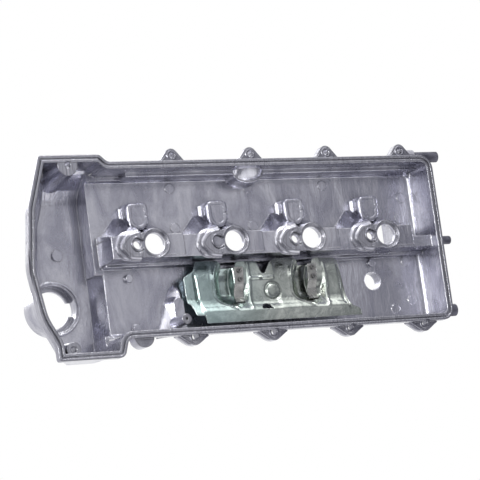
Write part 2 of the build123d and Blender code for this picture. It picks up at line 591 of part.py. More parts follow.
with BuildPart() as cover:
    with BuildSketch(at(0)):
        add(rim.sketch)
    extrude(amount=RIM_HEIGHT)
    add(gallery_shell.part)
    add(timing_shell.part)
    add(ears.part)
    with BuildSketch(at(NECK_START_Z)):
        with Locations((FILLER_X, FILLER_Y)):
            Circle(NECK_RADIUS)
    extrude(amount=NECK_TOP_Z - NECK_START_Z)
    with BuildSketch(at(RIM_HEIGHT)):
        with Locations(HOIST_BOSS):
            Circle(HOIST_RADIUS)
    extrude(amount=HOIST_HEIGHT)
    # bosses of the hose nipples
    for seat_y, seat_z, radius, bore, face_x, end_x in NIPPLES.values():
        start_x = SIDE_LUG_X if seat_y < SIDE_A else face_x - NIPPLE_SEAT
        with BuildSketch(section(start_x)):
            with Locations((seat_y, seat_z)):
                Circle(radius + NIPPLE_BOSS)
        extrude(amount=face_x - start_x)
    add(rim_void.part, mode=Mode.SUBTRACT)
    add(gallery_void.part, mode=Mode.SUBTRACT)
    add(timing_void.part, mode=Mode.SUBTRACT)
    add(inner_forms.part)
    # breather outlet on the outside
    with BuildSketch(at(FLOOR_Z)):
        with Locations((OUTLET_X, OUTLET_Y)):
            Circle(OUTLET_BORE + WALL)
    extrude(amount=OUTLET_HEIGHT)
    # the valley outside, over the spine, and a round well over each plug bore
    add(valley.part, mode=Mode.SUBTRACT)
    # pockets cored into the clearance blocks from outside
    with BuildSketch(at(BLOCK_Z + BLOCK_POCKET)):
        for x in PLUG_STATIONS:
            rounded_rectangle(x + BLOCK_CENTRE_X - BLOCK_WIDTH / 2 + BLOCK_POCKET,
                              x + BLOCK_CENTRE_X + BLOCK_WIDTH / 2 - BLOCK_POCKET,
                              BLOCK_FAR + BLOCK_POCKET, BLOCK_NEAR - BLOCK_POCKET,
                              BLOCK_POCKET_ROUND)
    extrude(amount=TIMING_OUTER_Z - BLOCK_Z, taper=-BLOCK_DRAFT, mode=Mode.SUBTRACT)
    # plug bores with their seal seats, and the stud bores beside them
    with BuildSketch(at(0)):
        with Locations(*[(x, 0) for x in PLUG_STATIONS]):
            Circle(WELL_SEAT_RADIUS)
    extrude(amount=PAD_Z + WELL_SEAT_DEPTH, mode=Mode.SUBTRACT)
    with BuildSketch(at(0)):
        with Locations(*[(x, 0) for x in PLUG_STATIONS]):
            Circle(PLUG_BORE_RADIUS)
    extrude(amount=TIMING_OUTER_Z, mode=Mode.SUBTRACT)
    with BuildSketch(at(0)):
        with Locations(*[(x - STUD_OFFSET, STUD_Y) for x in PLUG_STATIONS]):
            Circle(STUD_SEAT_RADIUS)
    extrude(amount=PAD_Z + WELL_SEAT_DEPTH, mode=Mode.SUBTRACT)
    with BuildSketch(at(0)):
        with Locations(*[(x - STUD_OFFSET, STUD_Y) for i, x in enumerate(PLUG_STATIONS) if i != BLIND_STUD]):
            Circle(STUD_BORE_RADIUS)
    extrude(amount=TIMING_OUTER_Z, mode=Mode.SUBTRACT)

    # the filler neck's inside, and the bayonet flange at its top
    for start_z, end_z, radius in ((FLOOR_Z, TIMING_FLOOR_Z - 1, FILLER_RECESS),
                                   (FLOOR_Z, NECK_TOP_Z - FILLER_FLANGE, FILLER_TUBE),
                                   (FLOOR_Z, NECK_TOP_Z + OVERCUT, FILLER_BORE)):
        with BuildSketch(at(start_z)):
            with Locations((FILLER_X, FILLER_Y)):
                Circle(radius)
        extrude(amount=end_z - start_z, mode=Mode.SUBTRACT)
    with BuildSketch(at(FLOOR_Z)):
        with Locations((FILLER_X, FILLER_Y)):
            Circle(FILLER_TUBE)
            Rectangle(2 * FILLER_TUBE, BAYONET_SLOT_WIDTH, mode=Mode.INTERSECT)
    extrude(amount=NECK_TOP_Z, mode=Mode.SUBTRACT)
    with BuildSketch(at(0)):
        with Locations((OUTLET_X, OUTLET_Y)):
            Circle(OUTLET_BORE)
    extrude(amount=FLOOR_Z + OUTLET_HEIGHT + OVERCUT, mode=Mode.SUBTRACT)
    # bolt holes
    with BuildSketch(at(0)):
        with Locations(*EAR_HOLES, TIMING_BOLT_A, TIMING_BOLT_B):
            Circle(BOLT_RADIUS)
    extrude(amount=TIMING_OUTER_Z, mode=Mode.SUBTRACT)
    with BuildSketch(at(BOLT_POCKET_Z)):
        with Locations(TIMING_BOLT_A, TIMING_BOLT_B):
            Circle(BOLT_POCKET_RADIUS)
    extrude(amount=TIMING_OUTER_Z, mode=Mode.SUBTRACT)
    with BuildSketch(at(POST_Z)):
        with Locations((POST_X, POST_Y)):
            Circle(POST_HOLE_RADIUS)
    extrude(amount=POST_HOLE_DEPTH, mode=Mode.SUBTRACT)
    # seats bored for the nipples
    for seat_y, seat_z, radius, bore, face_x, end_x in NIPPLES.values():
        with BuildSketch(section(face_x - NIPPLE_SEAT)):
            with Locations((seat_y, seat_z)):
                Circle(radius + NIPPLE_SHANK)
        extrude(amount=NIPPLE_SEAT, mode=Mode.SUBTRACT)
    side_y, side_z, side_radius, side_bore, side_face_x, side_end_x = NIPPLES["vacuum_pipe"]
    with BuildSketch(section(SIDE_PASSAGE_X)):
        with Locations((side_y, side_z)):
            Circle(side_bore)
    extrude(amount=side_face_x - SIDE_PASSAGE_X, mode=Mode.SUBTRACT)
    with BuildSketch(Plane(origin=(FIRST_PLUG_X + SIDE_PASSAGE_X + SIDE_PASSAGE_RADIUS,
                                   PLUG_LINE_Y + side_y, side_z), x_dir=(1, 0, 0), z_dir=(0, 1, 0))):
        Circle(SIDE_PASSAGE_RADIUS)
    extrude(amount=3 * WALL, mode=Mode.SUBTRACT)
    # tapped holes of the baffle screws
    with BuildSketch(at(SADDLE[0][1])):
        with Locations(*[(x, y) for x in STRAP_CENTRES for y in SCREW_YS]):
            Circle(SCREW_RADIUS)
    extrude(amount=SCREW_LENGTH, mode=Mode.SUBTRACT)
    # gasket groove
    with BuildSketch(at(0)):
        add(rim.sketch)
        offset(amount=-GROOVE_INSET, kind=Kind.ARC)
        add(rim_groove_core.sketch, mode=Mode.SUBTRACT)
    extrude(amount=GROOVE_DEPTH, mode=Mode.SUBTRACT)

# ---------------------------------------------------------------- oil baffle
def thicken(points, thickness):
    """Return the points of a profile moved square to it by a thickness."""
    moved = []
    for i, (y, z) in enumerate(points):
        before = points[max(i - 1, 0)]
        after = points[min(i + 1, len(points) - 1)]
        run = after[0] - before[0]
        rise = after[1] - before[1]
        length = math.hypot(run, rise)
        moved.append((y - rise / length * thickness, z + run / length * thickness))
    return tuple(moved)


def sheet_section(x, points, thickness):
    """Return a profile at station x as a closed strip of sheet metal."""
    outline = points + tuple(reversed(thicken(points, thickness)))
    plane = section(x)
    return Face(Wire.make_polygon([plane.from_local_coords((y, z, 0)) for y, z in outline]))


with BuildPart() as baffle:
    loft([sheet_section(x, profile, SHEET) for x, profile in BAFFLE_STATIONS], ruled=True)
    with BuildSketch(at(0)):
        for corners in BAFFLE_CUTS:
            with BuildSketch(mode=Mode.PRIVATE) as cut:
                with BuildLine():
                    Polyline(*corners, close=True)
                make_face()
            add(cut.sketch)
        with Locations(BAFFLE_HOLE[:2]):
            Circle(BAFFLE_HOLE[2])
        with Locations((BAFFLE_HOLE[0], BAFFLE_HOLE[1] + BAFFLE_HOLE[2])):
            Rectangle(3 * BAFFLE_HOLE[2], 2 * BAFFLE_HOLE[2], mode=Mode.SUBTRACT)
        with Locations(*[(x, y) for x in STRAP_CENTRES for y in SCREW_YS]):
            Circle(SCREW_RADIUS + SCREW_CLEARANCE)
    extrude(amount=FLOOR_Z, mode=Mode.SUBTRACT)
    # pressed rib and dome on the web
    with BuildSketch(section(RIB_START)):
        with Locations((RIB_Y, WEB[2][1])):
            Circle(RIB_RADIUS)
    extrude(amount=RIB_END - RIB_START)
    dome_x, dome_y, dome_radius, dome_height = DOME
    ball = (dome_radius ** 2 + dome_height ** 2) / (2 * dome_height)
    ball_z = WEB[4][1] + ball - dome_height
    with BuildPart(mode=Mode.PRIVATE) as dome:
        with Locations((FIRST_PLUG_X + dome_x, PLUG_LINE_Y + dome_y, ball_z)):
            Sphere(ball)
            Sphere(ball - SHEET, mode=Mode.SUBTRACT)
        with BuildSketch(at(0)):
            with Locations((dome_x, dome_y)):
                Circle(dome_radius + 1)
        extrude(amount=WEB[4][1] + SHEET / 2, mode=Mode.INTERSECT)
    with BuildSketch(at(0)):
        with Locations((dome_x, dome_y)):
            Circle(dome_radius - SHEET)
    extrude(amount=FLOOR_Z, mode=Mode.SUBTRACT)
    add(dome.part)

# ---------------------------------------------------------------- straps and screws
STRAP_PROFILE = ((STRAP_START_Y, SADDLE[0][1]),) + SADDLE[3:6]
STRAP_FOOT_Z = SADDLE[5][1] + (SADDLE[6][1] - SADDLE[5][1]) * (STRAP_END_Y - SADDLE[5][0]) / (
    SADDLE[6][0] - SADDLE[5][0])
STRAP_PROFILE += ((STRAP_END_Y, STRAP_FOOT_Z),)
straps = []
for centre in STRAP_CENTRES:
    with BuildPart() as strap:
        loft([sheet_section(x, STRAP_PROFILE, -STRAP_SHEET)
              for x in (centre - STRAP_WIDTH, centre + STRAP_WIDTH)], ruled=True)
        with BuildSketch(at(0)):
            with BuildLine():
                Polyline((centre + STRAP_WIDTH / 2, STRAP_START_Y - 1),
                         (centre + STRAP_WIDTH / 2 - STRAP_LEAN, STRAP_END_Y + 1),
                         (centre - STRAP_WIDTH / 2 - STRAP_LEAN, STRAP_END_Y + 1),
                         (centre - STRAP_WIDTH / 2, STRAP_START_Y - 1), close=True)
            make_face()
        extrude(amount=FLOOR_Z, mode=Mode.INTERSECT)
        with BuildSketch(at(0)):
            with Locations(*[(centre, y) for y in SCREW_YS]):
                Circle(SCREW_RADIUS + SCREW_CLEARANCE)
        extrude(amount=FLOOR_Z, mode=Mode.SUBTRACT)
    straps.append(strap)

HEAD_FACE_Z = SADDLE[0][1] - STRAP_SHEET
with BuildPart() as screws:
    with BuildSketch(at(HEAD_FACE_Z)):
        with Locations(*[(x, y) for x in STRAP_CENTRES for y in SCREW_YS]):
            Circle(SCREW_HEAD_RADIUS)
    extrude(amount=-SCREW_HEAD_HEIGHT, taper=DRAFT)
    with BuildSketch(at(HEAD_FACE_Z)):
        with Locations(*[(x, y) for x in STRAP_CENTRES for y in SCREW_YS]):
            Circle(SCREW_RADIUS)
    extrude(amount=SCREW_LENGTH)
    with BuildSketch(at(HEAD_FACE_Z - SCREW_HEAD_HEIGHT)):
        with Locations(*[(x, y) for x in STRAP_CENTRES for y in SCREW_YS]):
            Rectangle(SCREW_RECESS[0], SCREW_RECESS[1])
            Rectangle(SCREW_RECESS[1], SCREW_RECESS[0])
    extrude(amount=SCREW_RECESS[2], mode=Mode.SUBTRACT)

# ---------------------------------------------------------------- hose nipples
nipples = {}
for name, (seat_y, seat_z, radius, bore, face_x, end_x) in NIPPLES.items():
    with BuildPart() as nipple:
        with BuildSketch(section(face_x - NIPPLE_SEAT)):
            with Locations((seat_y, seat_z)):
                Circle(radius)
        extrude(amount=end_x - face_x + NIPPLE_SEAT)
        with BuildSketch(section(face_x - NIPPLE_SEAT)):
            with Locations((seat_y, seat_z)):
                Circle(radius + NIPPLE_SHANK)
        extrude(amount=NIPPLE_SEAT)
        with BuildSketch(section(face_x - NIPPLE_SEAT)):
            with Locations((seat_y, seat_z)):
                Circle(bore)
        extrude(amount=end_x - face_x + NIPPLE_SEAT, mode=Mode.SUBTRACT)
        fillet(nipple.faces().sort_by(Axis.X)[-1].edges(), NIPPLE_ROUND)
    nipples[name] = nipple

# ---------------------------------------------------------------- STEP files
os.makedirs("parts", exist_ok=True)
cover.part.label = "cover_casting"
export_step(cover.part, "parts/cover_casting.step")
baffle.part.label = "baffle_plate"
export_step(baffle.part, "parts/baffle_plate.step")
for number, strap in enumerate(straps, start=1):
    strap.part.label = f"baffle_strap_{number}"
    export_step(strap.part, f"parts/baffle_strap_{number}.step")
screws.part.label = "baffle_screws"
export_step(screws.part, "parts/baffle_screws.step")
for name, nipple in nipples.items():
    nipple.part.label = name
    export_step(nipple.part, f"parts/{name}.step")
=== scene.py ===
"""Visual model of an engine valve cover, seen from its gasket side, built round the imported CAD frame."""

import json
import logging
import math
from dataclasses import dataclass, field
from enum import Enum
from typing import Callable

import bpy
from mathutils import Matrix, Vector


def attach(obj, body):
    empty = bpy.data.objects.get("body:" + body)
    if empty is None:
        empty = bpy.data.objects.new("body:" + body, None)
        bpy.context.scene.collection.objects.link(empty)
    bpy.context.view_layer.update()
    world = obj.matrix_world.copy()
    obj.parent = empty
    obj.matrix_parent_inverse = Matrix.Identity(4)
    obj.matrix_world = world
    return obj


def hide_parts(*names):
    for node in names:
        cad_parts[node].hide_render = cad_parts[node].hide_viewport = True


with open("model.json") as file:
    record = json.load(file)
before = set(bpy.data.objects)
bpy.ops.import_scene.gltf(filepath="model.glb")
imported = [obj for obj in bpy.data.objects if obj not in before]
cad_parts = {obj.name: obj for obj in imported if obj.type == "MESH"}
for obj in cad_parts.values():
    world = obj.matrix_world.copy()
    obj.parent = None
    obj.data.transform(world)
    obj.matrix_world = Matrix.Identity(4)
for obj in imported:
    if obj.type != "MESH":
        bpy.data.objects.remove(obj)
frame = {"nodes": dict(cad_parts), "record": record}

logging.basicConfig(level=logging.INFO)
LOG = logging.getLogger("valve_cover")
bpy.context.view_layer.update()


class Slot(Enum):
    """Material slots of the record."""

    CAST = "cast_alloy"
    SHEET = "plated_sheet"
    STRAP = "strap_steel"
    SCREW = "screw_steel"
    PIPE = "pipe_steel"


@dataclass(frozen=True)
class MetalFinish:
    """How one metal looks.

    Attributes:
        name: Material name.
        light: Colour of the brighter patches, linear RGB.
        dark: Colour of the duller patches, linear RGB.
        roughness: Lowest and highest roughness.
        patch_scale: Cloud size of the patches along x, y and z, per metre.
        flow_scale: Size of the skin's ripples along x, y and z, per metre.
        flow_bump: Depth of the ripples, metres.
        grain_scale: Size of the fine grain, per metre.
        grain_bump: Depth of the fine grain, metres.
        edge_radius: Radius over which edges look rounded, metres.
        painted_edge_highlight: How much the painted highlight lightens the rounded edges.
        painted_corner_shade: How dark the painted shade in the corners is, from 0 to 1.
        painted_corner_shade_reach: How far the painted corner shade spreads, metres.
        machined: Heights of the faces that were cut after casting, metres.
        tint: Colour that the plating turns to towards the timing end.
        tint_span: Where along x the tint is full and where it ends, metres.
    """

    name: str
    light: tuple[float, float, float]
    dark: tuple[float, float, float]
    roughness: tuple[float, float]
    patch_scale: tuple[float, float, float]
    flow_scale: tuple[float, float, float]
    flow_bump: float
    grain_scale: float
    grain_bump: float
    edge_radius: float
    painted_edge_highlight: float
    painted_corner_shade: float
    painted_corner_shade_reach: float = 0.012
    machined: tuple[float, ...] = ()
    tint: tuple[float, float, float] = (1.0, 1.0, 1.0)
    tint_span: tuple[float, float] = (0.0, 1.0)


CAST = MetalFinish("cast_alloy", (0.82, 0.82, 0.88), (0.54, 0.54, 0.62), (0.16, 0.30), (34.0, 16.0, 34.0),
                   (150.0, 34.0, 90.0), 0.0006, 1100.0, 0.00012, 0.0016, 0.45, 0.42,
                   machined=(0.0, 0.003, 0.008))
SHEET = MetalFinish("plated_sheet", (0.72, 0.76, 0.70), (0.48, 0.52, 0.48), (0.12, 0.26), (40.0, 40.0, 40.0),
                    (90.0, 90.0, 90.0), 0.0006, 1500.0, 0.00004, 0.0012, 0.30, 0.70,
                    tint=(0.84, 0.98, 1.03), tint_span=(-0.045, 0.030))
STRAP = MetalFinish("strap_steel", (0.62, 0.62, 0.59), (0.42, 0.42, 0.40), (0.20, 0.34), (60.0, 60.0, 60.0),
                    (200.0, 200.0, 200.0), 0.0003, 1600.0, 0.00004, 0.0006, 0.30, 0.60)
SCREW = MetalFinish("screw_steel", (0.44, 0.44, 0.42), (0.26, 0.26, 0.26), (0.20, 0.34), (80.0, 80.0, 80.0),
                    (240.0, 240.0, 240.0), 0.0002, 1800.0, 0.00003, 0.0004, 0.30, 0.60)
PIPE = MetalFinish("pipe_steel", (0.26, 0.26, 0.31), (0.12, 0.12, 0.15), (0.24, 0.38), (60.0, 60.0, 60.0),
                   (120.0, 120.0, 120.0), 0.0004, 1500.0, 0.00004, 0.0006, 0.20, 0.50)


@dataclass
class NodeCanvas:
    """A small helper that adds and wires shader nodes in one material."""

    material: bpy.types.Material | bpy.types.World
    tree: bpy.types.NodeTree = field(init=False)

    def __post_init__(self) -> None:
        """Start from an empty node tree."""
        self.material.use_nodes = True
        self.tree = self.material.node_tree
        self.tree.nodes.clear()

    def add(self, kind: str, **values) -> bpy.types.Node:
        """Add a node and set its sockets or properties.

        Args:
            kind: Node type.
            values: Socket names (with spaces as underscores) or property names.

        Returns:
            The new node.
        """
        node = self.tree.nodes.new(kind)
        for key, value in values.items():
            socket = node.inputs.get(key.replace("_", " "))
            if socket is not None:
                socket.default_value = value
            else:
                setattr(node, key, value)
        return node

    def link(self, source: bpy.types.NodeSocket, target: bpy.types.NodeSocket) -> None:
        """Join two sockets."""
        self.tree.links.new(source, target)

    def compute(self, operation: str, *values: bpy.types.NodeSocket | float) -> bpy.types.NodeSocket:
        """Add a math node.

        Args:
            operation: What it does.
            values: Its inputs, each a socket or a number.

        Returns:
            The result.
        """
        node = self.add("ShaderNodeMath", operation=operation)
        for index, value in enumerate(values):
            if isinstance(value, bpy.types.NodeSocket):
                self.link(value, node.inputs[index])
            else:
                node.inputs[index].default_value = value
        return node.outputs[0]


# shares of a noise over which one look turns into the other
PATCH_RANGE = (0.36, 0.64)
GRAIN_RANGE = (0.35, 0.65)
CUT_RANGE = (0.3, 0.7)
ROUGH_RANGE = (0.3, 0.7)
# octaves and swirl of each noise
PATCH_NOISE = (4.0, 0.6)
RIPPLE_NOISE = (3.0, 0.8)
FINE_OCTAVES = 2.0
NOISE_ROUGHNESS = 0.6
# the fine grain darkens by these shades, at this share
GRAIN_SHADES = ((0.72, 0.72, 0.72), (1.0, 1.0, 1.0))
GRAIN_SHARE = 0.5
NO_TINT = (1.0, 1.0, 1.0)
# the painted edge highlight fades in over this range of the cosine
EDGE_RANGE = (0.995, 0.75)  # cosine between the rounded and the flat normal
# ambient occlusion over which the painted corner shade goes from full to none
CORNER_RANGE = (0.25, 0.95)
# cutter marks on the machined faces
CUT_TOLERANCE = 0.0002
CUT_SCALE = (900.0, 30.0, 30.0)
CUT_COLOURS = ((0.40, 0.40, 0.44), (0.60, 0.60, 0.65))
RIPPLE_STRENGTH = 0.7
GRAIN_STRENGTH = 0.6


class MetalShader:
    """Builds the procedural material of a metal from its finish."""

    def __init__(self, finish: MetalFinish) -> None:
        """Keep the finish.

        Args:
            finish: The look to build.
        """
        self.finish = finish

    def noise(self, canvas: NodeCanvas, scale: tuple[float, float, float], detail: float,
              distortion: float = 0.0) -> bpy.types.NodeSocket:
        """Add object-space noise.

        Args:
            canvas: Where to add it.
            scale: Noise scale along x, y and z, per metre.
            detail: Octaves.
            distortion: How much the noise swirls.

        Returns:
            The noise factor socket.
        """
        stretch = canvas.add("ShaderNodeMapping", Scale=scale)
        canvas.link(self.coordinates, stretch.inputs["Vector"])
        node = canvas.add("ShaderNodeTexNoise", Scale=1.0, Detail=detail, Roughness=NOISE_ROUGHNESS,
                          Distortion=distortion)
        canvas.link(stretch.outputs["Vector"], node.inputs["Vector"])
        return node.outputs["Fac"]

    def mix(self, canvas: NodeCanvas, blend: str, factor: bpy.types.NodeSocket | float,
            first: bpy.types.NodeSocket | tuple,
            second: bpy.types.NodeSocket | tuple) -> bpy.types.NodeSocket:
        """Mix two colours.

        Args:
            canvas: Where to add the node.
            blend: Blend mode.
            factor: How much of the second colour.
            first: Colour or socket.
            second: Colour or socket.

        Returns:
            The mixed colour.
        """
        node = canvas.add("ShaderNodeMix", data_type="RGBA", blend_type=blend)
        for index, value in ((0, factor), (6, first), (7, second)):
            if isinstance(value, bpy.types.NodeSocket):
                canvas.link(value, node.inputs[index])
            elif index == 0:
                node.inputs[0].default_value = value
            else:
                node.inputs[index].default_value = (*value, 1.0)
        return node.outputs[2]

    def spread(self, canvas: NodeCanvas, value: bpy.types.NodeSocket, low: float, high: float,
               to_low: float = 0.0, to_high: float = 1.0) -> bpy.types.NodeSocket:
        """Map a value's range to another.

        Args:
            canvas: Where to add the node.
            value: The value.
            low: Where the input range starts.
            high: Where it ends.
            to_low: Output at its start.
            to_high: Output at its end.

        Returns:
            The mapped value.
        """
        node = canvas.add("ShaderNodeMapRange", From_Min=low, From_Max=high, To_Min=to_low, To_Max=to_high)
        canvas.link(value, node.inputs["Value"])
        return node.outputs["Result"]

    def cut_mask(self, canvas: NodeCanvas) -> bpy.types.NodeSocket | None:
        """Mark the faces that were machined.

        Args:
            canvas: Where to add the nodes.

        Returns:
            1 on those faces and 0 elsewhere, or None where the metal has none.
        """
        height = canvas.add("ShaderNodeSeparateXYZ")
        canvas.link(self.coordinates, height.inputs[0])
        mask = None
        for level in self.finish.machined:
            near = canvas.compute("COMPARE", height.outputs["Z"], level, CUT_TOLERANCE)
            mask = near if mask is None else canvas.compute("MAXIMUM", mask, near)
        return mask

    def build(self) -> bpy.types.Material:
        """Make the material.

        Returns:
            The finished material.
        """
        look = self.finish
        material = bpy.data.materials.new(look.name)
        canvas = NodeCanvas(material)
        self.coordinates = canvas.add("ShaderNodeTexCoord").outputs["Object"]
        patches = self.noise(canvas, look.patch_scale, *PATCH_NOISE)
        ripples = self.noise(canvas, look.flow_scale, *RIPPLE_NOISE)
        grain = self.noise(canvas, (look.grain_scale,) * 3, FINE_OCTAVES)
        colour = self.mix(canvas, "MIX", self.spread(canvas, patches, *PATCH_RANGE), look.dark, look.light)
        speckle = self.mix(canvas, "MIX", self.spread(canvas, grain, *GRAIN_RANGE), *GRAIN_SHADES)
        colour = self.mix(canvas, "MULTIPLY", GRAIN_SHARE, colour, speckle)
        if look.tint != NO_TINT:
            station = canvas.add("ShaderNodeSeparateXYZ")
            canvas.link(self.coordinates, station.inputs[0])
            share = self.spread(canvas, station.outputs["X"], look.tint_span[1], look.tint_span[0])
            colour = self.mix(canvas, "MULTIPLY", share, colour, look.tint)
        bevel = canvas.add("ShaderNodeBevel", samples=5, Radius=look.edge_radius)
        geometry = canvas.add("ShaderNodeNewGeometry")
        facing = canvas.add("ShaderNodeVectorMath", operation="DOT_PRODUCT")
        canvas.link(bevel.outputs["Normal"], facing.inputs[0])
        canvas.link(geometry.outputs["Normal"], facing.inputs[1])
        # painted highlight: edges, where the rounded normal leaves the flat one, are screened lighter
        edge = self.spread(canvas, facing.outputs["Value"], *EDGE_RANGE)
        colour = self.mix(canvas, "SCREEN", edge, colour, (look.painted_edge_highlight,) * 3)
        # painted shade: ambient occlusion darkens the colour in corners and crevices
        corner = canvas.add("ShaderNodeAmbientOcclusion", samples=6, Distance=look.painted_corner_shade_reach)
        shade = self.spread(canvas, corner.outputs["AO"], *CORNER_RANGE, 1.0 - look.painted_corner_shade, 1.0)
        colour = self.mix(canvas, "MULTIPLY", 1.0, colour, shade)
        rough = self.spread(canvas, patches, *ROUGH_RANGE, look.roughness[1], look.roughness[0])
        cut = self.cut_mask(canvas)
        if cut is not None:
            marks = self.spread(canvas, self.noise(canvas, CUT_SCALE, FINE_OCTAVES), *CUT_RANGE)
            colour = self.mix(canvas, "MIX", cut, colour, self.mix(canvas, "MIX", marks, *CUT_COLOURS))
        flow = canvas.add("ShaderNodeBump", Strength=RIPPLE_STRENGTH, Distance=look.flow_bump)
        canvas.link(ripples, flow.inputs["Height"])
        canvas.link(bevel.outputs["Normal"], flow.inputs["Normal"])
        fine = canvas.add("ShaderNodeBump", Strength=GRAIN_STRENGTH, Distance=look.grain_bump)
        canvas.link(grain, fine.inputs["Height"])
        canvas.link(flow.outputs["Normal"], fine.inputs["Normal"])
        shader = canvas.add("ShaderNodeBsdfPrincipled", Metallic=1.0)
        canvas.link(colour, shader.inputs["Base Color"])
        canvas.link(rough, shader.inputs["Roughness"])
        canvas.link(fine.outputs["Normal"], shader.inputs["Normal"])
        output = canvas.add("ShaderNodeOutputMaterial")
        canvas.link(shader.outputs["BSDF"], output.inputs["Surface"])
        return material


SENSOR_WIDTH = 36.0         # millimetres
CLIP_END = 50.0             # metres


@dataclass(frozen=True)
class CameraFit:
    """The camera: where it looks, how it is turned and how far it stands, in metres and radians."""

    target: tuple[float, float, float] = (-0.01515, -0.00734, 0.0)
    yaw: float = 0.4960286976182357
    pitch: float = 0.1757904693039486
    roll: float = -0.13370138796213588
    distance: float = 2.589094411152739
    focal_pixels: float = 2398.4260785286524
    frame_pixels: float = 480.0

    def place(self) -> bpy.types.Object:
        """Create the camera and make it the scene's own.

        Returns:
            The camera object.
        """
        out = Vector((-math.sin(self.yaw) * math.cos(self.pitch), math.sin(self.pitch),
                      -math.cos(self.yaw) * math.cos(self.pitch)))
        position = Vector(self.target) + out * self.distance
        forward = -out
        screen_up = Vector((0.0, -1.0, 0.0))
        right = forward.cross(screen_up).normalized()
        if right.x < 0:
            right = -right
        up = screen_up - forward * screen_up.dot(forward)
        up.normalize()
        turned_right = math.cos(self.roll) * right + math.sin(self.roll) * up
        turned_up = -math.sin(self.roll) * right + math.cos(self.roll) * up
        data = bpy.data.cameras.new("view_camera")
        data.sensor_width = SENSOR_WIDTH
        data.lens = self.focal_pixels / self.frame_pixels * data.sensor_width
        data.clip_end = CLIP_END
        camera = bpy.data.objects.new("view_camera", data)
        bpy.context.scene.collection.objects.link(camera)
        rotation = Matrix((turned_right, turned_up, -forward)).transposed().to_4x4()
        camera.matrix_world = Matrix.Translation(position) @ rotation
        bpy.context.scene.camera = camera
        return camera


@dataclass(frozen=True)
class SoftLamp:
    """One area lamp aimed at the cover."""

    name: str
    position: tuple[float, float, float]
    size: float
    power: float
    colour: tuple[float, float, float] = (1.0, 1.0, 1.0)

    def place(self) -> None:
        """Create the lamp."""
        data = bpy.data.lights.new(self.name, "AREA")
        data.size = self.size
        data.energy = self.power
        data.color = self.colour
        lamp = bpy.data.objects.new(self.name, data)
        lamp.location = self.position
        lamp.rotation_euler = (-Vector(self.position)).to_track_quat("-Z", "Y").to_euler()
        bpy.context.scene.collection.objects.link(lamp)


@dataclass(frozen=True)
class Panel:
    """A soft bright region of the surroundings, by direction.

    Attributes:
        direction: Where its middle lies, seen from the cover.
        outer: Cosine at its edge.
        inner: Cosine where it is at full strength.
        strength: How bright it is.
        colour: Its colour.
    """

    direction: tuple[float, float, float]
    outer: float
    inner: float
    strength: float
    colour: tuple[float, float, float] = (1.0, 1.0, 1.0)


ROOM_COLOUR = (0.17, 0.17, 0.195)
BACKDROP = Panel((0.47, -0.17, 0.87), 0.55, 0.85, 1.0)
PANELS = (
    Panel((-1.0, -0.1, -0.25), 0.60, 0.90, 1.45),
    Panel((0.0, -1.0, -0.30), 0.66, 0.90, 1.3),
    Panel((0.5, -0.25, -0.85), 0.60, 0.98, 0.10, (0.95, 0.96, 1.0)),
    Panel((0.3, 1.0, -0.25), 0.72, 0.93, 0.8),
    Panel((-0.3, -0.3, 1.0), 0.30, 0.90, 0.5),
)
LAMPS = (
    SoftLamp("strip_left", (-1.5, -0.2, -0.5), 0.4, 7.0),
    SoftLamp("strip_top", (0.2, -1.4, -0.9), 0.5, 5.0),
    SoftLamp("floor_panel", (0.14, -0.16, -0.80), 0.75, 0.45),
    SoftLamp("outside_key", (-0.3, -0.9, 1.6), 0.9, 6.0),
)
FLOOR_SIZE = 12.0
FLOOR_COLOUR = (0.9, 0.9, 0.9, 1.0)
WHITE = (1.0, 1.0, 1.0, 1.0)
SHADE_REACH = (0.262, 0.112)    # the floor has no reflection within this distance of the middle


